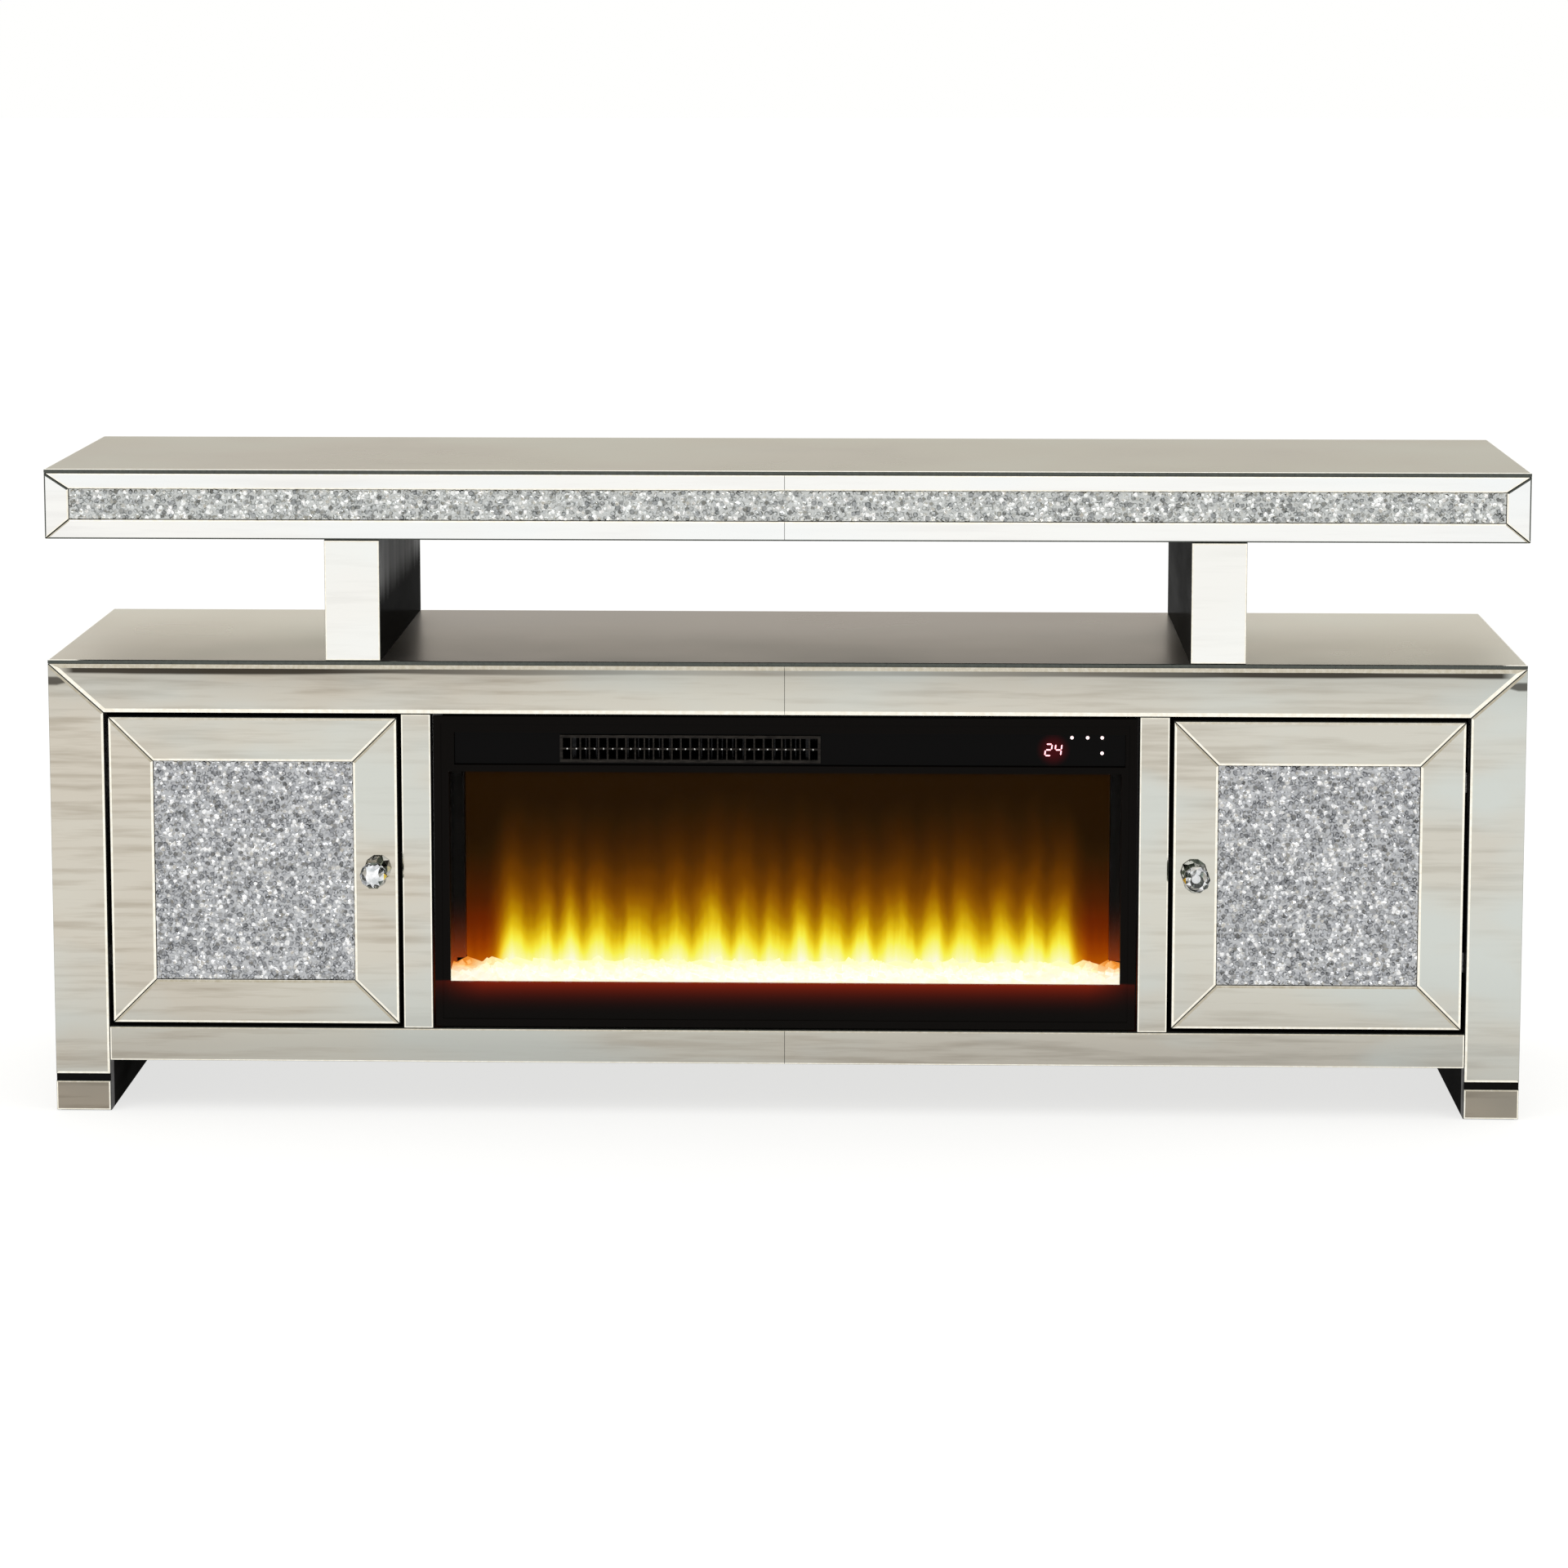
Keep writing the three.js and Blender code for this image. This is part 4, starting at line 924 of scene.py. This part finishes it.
def add_chip(mesh, centre, bounds, draw):
    """One chip: an uneven foot, a wider girdle and a small tilted table."""
    vertices, faces = mesh
    sides = draw.choice(CHIP_SIDES)
    turn = draw.uniform(0, 2 * math.pi)
    radius = CHIP_PITCH * draw.uniform(*CHIP_RADIUS_SHARES)
    rise = draw.uniform(*CHIP_RISE)
    slope = [draw.uniform(-CHIP_TILT, CHIP_TILT) for _ in range(2)]
    table = draw.uniform(*CHIP_TABLE_SHARES)
    offset = [draw.uniform(-CHIP_OFFSET_SHARE, CHIP_OFFSET_SHARE) * radius for _ in range(2)]
    spokes = []
    for index in range(sides):
        step = index + draw.uniform(-CHIP_TURN_SHARE, CHIP_TURN_SHARE)
        angle = turn + 2 * math.pi * step / sides
        reach = radius * draw.uniform(*CHIP_SPOKE_SHARES)
        spokes.append((reach * math.cos(angle), reach * math.sin(angle)))
    points = [(CHIP_FOOT_SHARE * u, CHIP_FOOT_SHARE * v, CHIP_SEAT) for u, v in spokes]
    points += [(u, v, CHIP_SEAT + CHIP_GIRDLE_SHARE * rise) for u, v in spokes]
    for spoke in spokes:
        u, v = (table * along + shift for along, shift in zip(spoke, offset))
        height = CHIP_SEAT + rise + slope[0] * u + slope[1] * v
        points.append((u, v, min(height, GLASS - HALF_JOINT)))
    start = len(vertices)
    vertices += [held(centre[0] + u, centre[1] + v, w, bounds) for u, v, w in points]
    foot, girdle, crown = (range(start + ring * sides, start + (ring + 1) * sides) for ring in range(3))
    faces.append(tuple(reversed(foot)))
    faces.append(tuple(crown))
    for index in range(sides):
        after = (index + 1) % sides
        faces.append((foot[index], foot[after], girdle[after], girdle[index]))
        faces.append((girdle[index], girdle[after], crown[index]))
        faces.append((girdle[after], crown[after], crown[index]))


def held(u, v, w, bounds):
    """A point kept inside the field of crystal."""
    (u0, u1), (v0, v1) = bounds
    return front.at(min(max(u, u0), u1), min(max(v, v0), v1), w)


# Upper shelf
def add_shelf_front():
    node, band = "shelf_front_mirror", "shelf_crystal_strip"
    outer, inner = front_limits(node), front_limits(band)
    add_backing(node, front, rectangle(*outer), hole=rectangle(*inner))
    strips = mitred(outer, inner)
    style = {"bevel": SLIM_BEVEL, "ease": SHELF_ARRIS}
    # Shadow edges get a painted shadow line on their bevel, lit edges a painted highlight on their
    # sides
    for name, shadow_edges, lit in (("left", (2, 3), (1,)), ("right", (0, 1), (2,))):
        piece = f"shelf_front_{name}_plate"
        add_plate(piece, front, strips[name], upper_mirror, shadow_edges=shadow_edges, lit=lit, **style)
    wide, narrow = half_width, inner[0][1]
    for name, level, ends in (("lower", 0, (wide, narrow)), ("upper", 1, (narrow, wide))):
        low, high = sorted((inner[1][level], outer[1][level]))
        right_half = [(0, low), (ends[0], low), (ends[1], high), (0, high)]
        for side, sign in SIDES:
            outline = mirrored(right_half, sign)
            low_edge, high_edge = (0, 2) if sign > 0 else (2, 0)
            shadow_edges, lit = ((low_edge,), (high_edge,)) if name == "lower" else ((), (low_edge,))
            piece = f"shelf_front_{name}_{side}_plate"
            add_plate(piece, front, outline, upper_mirror, seams=(3,), shadow_edges=shadow_edges, lit=lit, **style)
    add_chips("shelf_crystal_chips", band, STRIP_SEED, strip_chip)


# Doors: the edge at which each strip meets the crystal, whose side takes a painted highlight
CRYSTAL_EDGES = {"left": 1, "right": 2, "lower": 2, "upper": 1}


def add_door_dressing(side):
    body = f"{side}_door"
    node, field = f"{side}_door_mirror", f"{side}_door_crystal"
    outer, inner = front_limits(node), front_limits(field)
    add_backing(node, front, rectangle(*outer), body, rectangle(*inner))
    for name, outline in mitred(outer, inner).items():
        lit = (CRYSTAL_EDGES[name],)
        piece = f"{side}_door_{name}_plate"
        add_plate(piece, front, outline, lower_mirror, body, bevel=DOOR_BEVEL, lit=lit)
    add_chips(f"{side}_door_crystal_chips", field, DOOR_SEEDS[side], door_chip, body)


# Crystal knobs: a brilliant-cut head on a turned metal foot. Rings are radius, height, half turn.
KNOB_FACETS = 10
KNOB_HEAD = (
    (4.6, 9.5, 0), (11.2, 16.4, 1), (15, 20.6, 0), (15, 22.2, 0), (12.4, 27.2, 1), (7.6, 31.6, 0)
)
KNOB_FOOT = (
    (7.6, 0.3, 0), (9, 0.9, 0), (9, 2.2, 0), (8, 3.1, 0), (5.2, 3.7, 0), (4.4, 5.5, 0),
    (4.6, 8.2, 0), (6.2, 9.2, 0), (6.2, 9.9, 0)
)
KNOB_FOOT_SIDES = 32
# Shares of facets with painted dark and pale reflections
DARK_SHARES = (0.12, 0.6)
PALE_SHARE = 0.45


def turned(face, centre, rings, count):
    """The mesh of a faceted form about an axis that points out of the face."""
    vertices, faces = [], []
    for radius, height, half_turn in rings:
        for u, v in circle(radius, count, half_turn / 2):
            vertices.append(face.at(centre[0] + u, centre[1] + v, height))
    for ring in range(len(rings) - 1):
        low_turn, high_turn = rings[ring][2], rings[ring + 1][2]
        for low, low_next, high_next, high in bands(count, ((ring, ring + 1),)):
            if low_turn == high_turn:
                faces += [(low, low_next, high_next, high)]
            elif high_turn:
                faces += [(low, low_next, high), (low_next, high_next, high)]
            else:
                faces += [(low, high_next, high), (low, low_next, high_next)]
    faces.append(tuple(reversed(range(count))))
    top = (len(rings) - 1) * count
    faces.append(tuple(range(top, top + count)))
    return vertices, faces


def facet_shades(mesh, seed):
    """Picks clear, dark or pale facets: mostly dark behind and mostly clear in front. The dark and pale
    facets are painted reflections.
    """
    vertices, faces = mesh
    draw = random.Random(seed)
    depths = [sum(vertices[index].y for index in part) / len(part) for part in faces]
    nearest, farthest = min(depths), max(depths)
    shades = []
    for depth in depths:
        behind = (depth - nearest) / (farthest - nearest)
        dark = draw.random() < DARK_SHARES[0] + DARK_SHARES[1] * behind
        pale = draw.random() < PALE_SHARE
        shades.append(1 if dark else 2 if pale else 0)
    return shades


def add_knob(side):
    node = f"{side}_knob"
    knob_x, _, knob_z = limits(node)
    centre = (middle(knob_x), middle(knob_z))
    outside = Face((0, front_y, 0), X, Z)
    place = {"body": f"{side}_door", "slot": "knob", "stands_for": node}
    head = turned(outside, centre, KNOB_HEAD, KNOB_FACETS)
    shades = facet_shades(head, KNOB_SEEDS[side])
    facets = (cut_crystal, dark_reflection_facet, pale_reflection_facet)
    add_piece(f"{side}_knob_crystal", head, facets, indices=shades, **place)
    foot = turned(outside, centre, KNOB_FOOT, KNOB_FOOT_SIDES)
    foot = add_piece(f"{side}_knob_foot", foot, (chrome,), **place)
    for polygon in foot.data.polygons:
        polygon.use_smooth = len(polygon.vertices) == 4


# Screws
SCREW_SIDES = 12
SCREW_RISE = 0.4
FLUSH_RISE = 0.05
SCREW_SEAT = 0.6
SCREW_RECESS = 0.35
SCREW_SHARES = {"edge": 0.3, "crown": 0.9, "arm": 0.62, "slit": 0.14}


def add_screws(name, face, centres, radius, material, slot, rise=SCREW_RISE):
    """Flat-domed heads with a cross recess, all in one mesh."""
    arm, slit = radius * SCREW_SHARES["arm"], radius * SCREW_SHARES["slit"]
    quarter = [(arm, -slit), (arm, slit), (slit, slit)]
    cross = []
    for _ in range(4):
        cross += quarter
        quarter = [(-v, u) for u, v in quarter]
    edge = circle(radius, SCREW_SIDES, -0.5)
    crown = circle(radius * SCREW_SHARES["crown"], SCREW_SIDES, -0.5)
    rings = (
        (edge, -SCREW_SEAT),
        (edge, SCREW_SHARES["edge"] * rise),
        (crown, rise),
        (cross, rise),
        (cross, rise - SCREW_RECESS),
    )
    add_piece(name, solid(face, rings, centres), (material,), CABINET, slot)


def spread(pair, count):
    """Evenly spaced places from one limit to the other."""
    return [pair[0] + length(pair) * index / (count - 1) for index in range(count)]


BACK_SCREW_RADIUS = 3.4
MACHINE_SCREW_RADIUS = 3
BACK_SCREW_MARGIN = 9
BACK_SCREW_COUNTS = {"top": 9, "side": 4, "bottom": 7}
CASING_DEPTH = 180
CASING_SCREW_REACH = 316
CASING_SCREW_COUNT = 5
CASING_SCREW_LEVELS = (152, 392)
HINGE_SCREW_OFFSETS = (-7, 7)
HINGE_SCREW_MARGIN = 12
HINGE_PLATE_THICKNESS = 8


def add_fasteners():
    back_x, back_panel_y, back_z = limits("back_panel")
    back = Face((0, back_panel_y[1], 0), -X, Z)
    x = widened(back_x, -BACK_SCREW_MARGIN)
    z = (FOOT_BAND_TOP + BACK_SCREW_MARGIN, back_z[1] - BACK_SCREW_MARGIN)
    low_x = widened(x, -2 * (half_width - stile_edge))
    low_z = low_rail[0] + 2 * BACK_SCREW_MARGIN
    places = [(u, z[1]) for u in spread(x, BACK_SCREW_COUNTS["top"])]
    places += [(u, v) for u in x for v in spread(z, BACK_SCREW_COUNTS["side"])[:-1]]
    places += [(u, low_z) for u in spread(low_x, BACK_SCREW_COUNTS["bottom"])]
    add_screws("back_panel_screws", back, places, BACK_SCREW_RADIUS, nickel, "board", FLUSH_RISE)

    _, casing_y, _ = limits("insert_casing")
    rear = Face((0, casing_y[0] + CASING_DEPTH, 0), -X, Z)
    across_rear = spread((-CASING_SCREW_REACH, CASING_SCREW_REACH), CASING_SCREW_COUNT)
    places = [(u, v) for u in across_rear for v in CASING_SCREW_LEVELS]
    add_screws("casing_screws", rear, places, MACHINE_SCREW_RADIUS, nickel, "casing")

    for side, sign in SIDES:
        plate = sign * (stile_edge - HALF_JOINT - HINGE_PLATE_THICKNESS)
        face = Face((plate, 0, 0), -sign * Y, Z)
        for level in HINGE_LEVELS:
            _, arm_y, arm_z = limits(f"{side}_{level}_hinge_arm")
            along = -sign * (arm_y[1] - HINGE_SCREW_MARGIN)
            places = [(along, middle(arm_z) + offset) for offset in HINGE_SCREW_OFFSETS]
            name = f"{side}_{level}_hinge_screws"
            add_screws(name, face, places, MACHINE_SCREW_RADIUS, chrome, "hinge")


# Lit figures, dots and rivets of the insert
LIGHT_THICKNESS = 0.3
DIGIT_HEIGHT = 12.5
DIGIT_WIDTH = 6.6
DIGIT_PITCH = 10.5
DIGIT_STROKE = 1.5
DIGIT_GAP = 0.5
DIGIT_SLANT = 0.12
DIGIT_FIGURES = "24"
DIGIT_SEGMENTS = {"2": "abged", "4": "fgbc"}
SEGMENT_ENDS = {
    "a": ((-1, 1), (1, 1)),
    "b": ((1, 1), (1, 0)),
    "c": ((1, 0), (1, -1)),
    "d": ((-1, -1), (1, -1)),
    "e": ((-1, 0), (-1, -1)),
    "f": ((-1, 1), (-1, 0)),
    "g": ((-1, 0), (1, 0)),
}
DOT_PLACES = ((311, 419), (328, 419), (343.7, 419), (343.7, 402))
DOT_SIDES = 20
DOT_RINGS = ((1.9, 0), (1.9, 0.21), (1.425, 0.3))


def segment_outline(segment, centre):
    """The pointed bar of one segment of a lit figure."""
    half = (DIGIT_WIDTH / 2, DIGIT_HEIGHT / 2)
    first, last = (Vector((u * half[0], v * half[1])) for u, v in SEGMENT_ENDS[segment])
    along = (last - first).normalized()
    side = Vector((-along.y, along.x)) * DIGIT_STROKE / 2
    start, end = first + along * DIGIT_GAP, last - along * DIGIT_GAP
    tip = along * DIGIT_STROKE / 2
    bar = (start, start + tip - side, end - tip - side, end, end - tip + side, start + tip + side)
    return [(centre + p.x + DIGIT_SLANT * p.y, DIGITS_PLACE[1] + p.y) for p in bar]


def add_studs(name, face, centres, rings, sides, material):
    """Round studs in one mesh, from rings of radius and height."""
    rings = [(circle(radius, sides), height) for radius, height in rings]
    add_piece(name, solid(face, rings, centres), (material,), CABINET, "bezel")


def add_figures():
    _, panel_y, _ = limits("control_panel")
    face = Face((0, panel_y[0] - LIGHT_THICKNESS, 0), X, Z)
    figures = ([], [])
    for place, figure in enumerate(DIGIT_FIGURES):
        centre = DIGITS_PLACE[0] + (place - (len(DIGIT_FIGURES) - 1) / 2) * DIGIT_PITCH
        for segment in DIGIT_SEGMENTS[figure]:
            outline = segment_outline(segment, centre)
            stack(figures, face, ((outline, 0), (outline, LIGHT_THICKNESS)))
    add_piece("display_figures", figures, (red_light,), CABINET, "bezel")
    add_studs("touch_dots", face, DOT_PLACES, DOT_RINGS, DOT_SIDES, pink_light)


RIVET_COUNT = 28
RIVET_SIDES = 12
RIVET_RINGS = ((1.0, 0.05), (0.85, 0.45), (0.45, 0.75))
GRILLE_RIM = 3


def add_rivets():
    """A row of bright rivets along the middle bar of the outlet grille."""
    grille_x, grille_y, grille_z = limits("outlet_grille")
    face = Face((0, grille_y[0], 0), X, Z)
    row = widened(grille_x, -GRILLE_RIM - length(grille_x) / RIVET_COUNT / 2)
    centres = [(u, middle(grille_z)) for u in spread(row, RIVET_COUNT)]
    add_studs("outlet_grille_rivets", face, centres, RIVET_RINGS, RIVET_SIDES, nickel)


EMBER_COUNT = 420
EMBER_SIZE = (3.2, 7.5)
EMBER_SINK = 4
EMBER_RISE_SHARE = 0.5
EMBER_REACH_SHARES = (0.6, 1.0)
EMBER_FACETS = ((0, 2, 5), (0, 5, 3), (0, 3, 4), (0, 4, 2), (1, 5, 2), (1, 3, 5), (1, 4, 3), (1, 2, 4))


def add_ember_chips():
    """Glowing lumps of crushed glass over the ember bed."""
    draw = random.Random(EMBER_SEED)
    bed_x, bed_y, bed_z = limits("ember_bed")
    vertices, faces = [], []
    top = bed_z[1] - EMBER_SINK
    for _ in range(EMBER_COUNT):
        size = draw.uniform(*EMBER_SIZE)
        x = draw.uniform(bed_x[0] + size, bed_x[1] - size)
        y = draw.uniform(bed_y[0] + size, bed_y[1] - size)
        centre = Vector((x, y, top + draw.uniform(0, EMBER_RISE_SHARE) * size))
        angle = draw.uniform(0, math.pi)
        axle = Vector([draw.uniform(-1, 1) for _ in range(3)]).normalized()
        turn = Matrix.Rotation(angle, 3, axle)
        first = len(vertices)
        for axis in range(3):
            for sign in (-1, 1):
                point = Vector((0, 0, 0))
                point[axis] = sign * size * draw.uniform(*EMBER_REACH_SHARES)
                vertices.append(centre + turn @ point)
        faces += [tuple(first + index for index in facet) for facet in EMBER_FACETS]
    add_piece("ember_chips", (vertices, faces), (ember_chip,), CABINET, "ember")


# Finishes of the CAD nodes that are shown as they are
def both(*names):
    return [f"{side}_{name}" for name in names for side, _ in SIDES]


def paint_nodes():
    boards = both("side_panel", "partition", "inner_shelf", "door_panel")
    hinges = both(*(f"{level}_hinge_{part}" for level in HINGE_LEVELS for part in ("cup", "arm")))
    finishes = (
        (black_board, ["front_frame", "deck_panel", "bottom_panel", *boards]),
        (back_board, ["back_panel"]),
        (black_lacquer, ["shelf_core", *both("leg_panel")]),
        (post_lacquer, both("post")),
        (nickel, ["rotor_motor", *hinges]),
        (bare_steel, ["flame_rotor"]),
        (fan_steel, ["blower_wheel", "heater_element", "blower_housing"]),
        (grille_plastic, ["outlet_grille"]),
        (bezel_plastic, ["front_bezel"]),
        (control_strip, ["control_panel"]),
        (casing_steel, ["insert_casing"]),
        (window_pane, ["window_glass"]),
        (flame_light, ["flame_screen"]),
        (ember_bed_light, ["ember_bed"]),
        (lamp_board, ["lamp_strip"]),
    )
    for material, names in finishes:
        for name in names:
            for slot in nodes[name].material_slots:
                slot.material = material


# Studio: a pale floor, lit from below so that the shadows on it stay faint
FLOOR_REACH = 40000
FLOOR_ALBEDO = 0.31
FLOOR_GLOW = 0.79


def add_floor():
    graph = Graph("studio_floor")
    cloud = graph.noise(0.6, detail=3)
    colour = graph.mixed(cloud, rgb(243, 243, 242), rgb(248, 248, 247))
    albedo = (FLOOR_ALBEDO, FLOOR_ALBEDO, FLOOR_ALBEDO, 1)
    dimmed = graph.mixed(1.0, colour, albedo, blend="MULTIPLY")
    material = graph.lit(colour, FLOOR_GLOW, Base_Color=dimmed, Roughness=0.7, Specular_IOR_Level=0.06)
    material.cycles.emission_sampling = "NONE"
    span = (-FLOOR_REACH, FLOOR_REACH)
    corners = [(x, y, 0) for x, y in rectangle(span, span)]
    add_mesh("studio_floor", (corners, [(0, 1, 2, 3)]), (material,))


# The sky, from below the horizon to overhead
SKY_STRENGTH = 1.33
SKY_STOPS = (
    (0.0, rgb(224, 224, 223)),
    (0.03, rgb(224, 224, 223)),
    (0.06, rgb(168, 164, 155)),
    (0.44, rgb(166, 162, 152)),
    (0.6, rgb(236, 236, 235)),
    (0.7, rgb(255, 255, 255)),
    (0.88, rgb(255, 255, 255)),
    (0.95, rgb(214, 214, 213)),
    (1.0, rgb(204, 204, 203)),
)

# Soft boxes: name, place, target and size in metres, power in watts, and whether mirrors show it
SOFT_BOXES = (
    ("left_softbox", (-2.6, -2.6, 4.2), (0, 0, 0.3), (1.8, 1.8), 26, True),
    ("right_softbox", (3.0, -1.8, 3.8), (0, 0, 0.3), (1.2, 1.8), 15, True),
    ("top_softbox", (0.3, 0.4, 4.6), (0, 0, 0), (3.2, 2.4), 38, False),
)


def add_studio_light():
    sky = Graph("studio", bpy.data.worlds)
    scene.world = sky.owner
    _, _, height = sky.axes("Generated")
    background = sky.tree.nodes["Background"]
    sky.feed(background.inputs["Color"], sky.ramp(height, SKY_STOPS))
    sky.feed(background.inputs["Strength"], SKY_STRENGTH)
    for name, place, target, size, power, mirrored_back in SOFT_BOXES:
        data = bpy.data.lights.new(name, "AREA")
        data.shape = "RECTANGLE"
        data.size, data.size_y = size
        data.energy = power
        light = bpy.data.objects.new(name, data)
        light.location = place
        light.rotation_euler = (Vector(target) - Vector(place)).to_track_quat("-Z", "Y").to_euler()
        light.visible_glossy = mirrored_back
        scene.collection.objects.link(light)
    scene.view_settings.view_transform = "Standard"


add_front_plates()
for side_name, side_sign in SIDES:
    add_side_plates(side_name, side_sign)
    add_slim_plate(f"{side_name}_post_mirror", post_mirror)
    add_door_dressing(side_name)
    add_knob(side_name)
add_top_plates()
add_shelf_front()
add_fasteners()
add_figures()
add_rivets()
add_ember_chips()
paint_nodes()
add_floor()
add_studio_light()
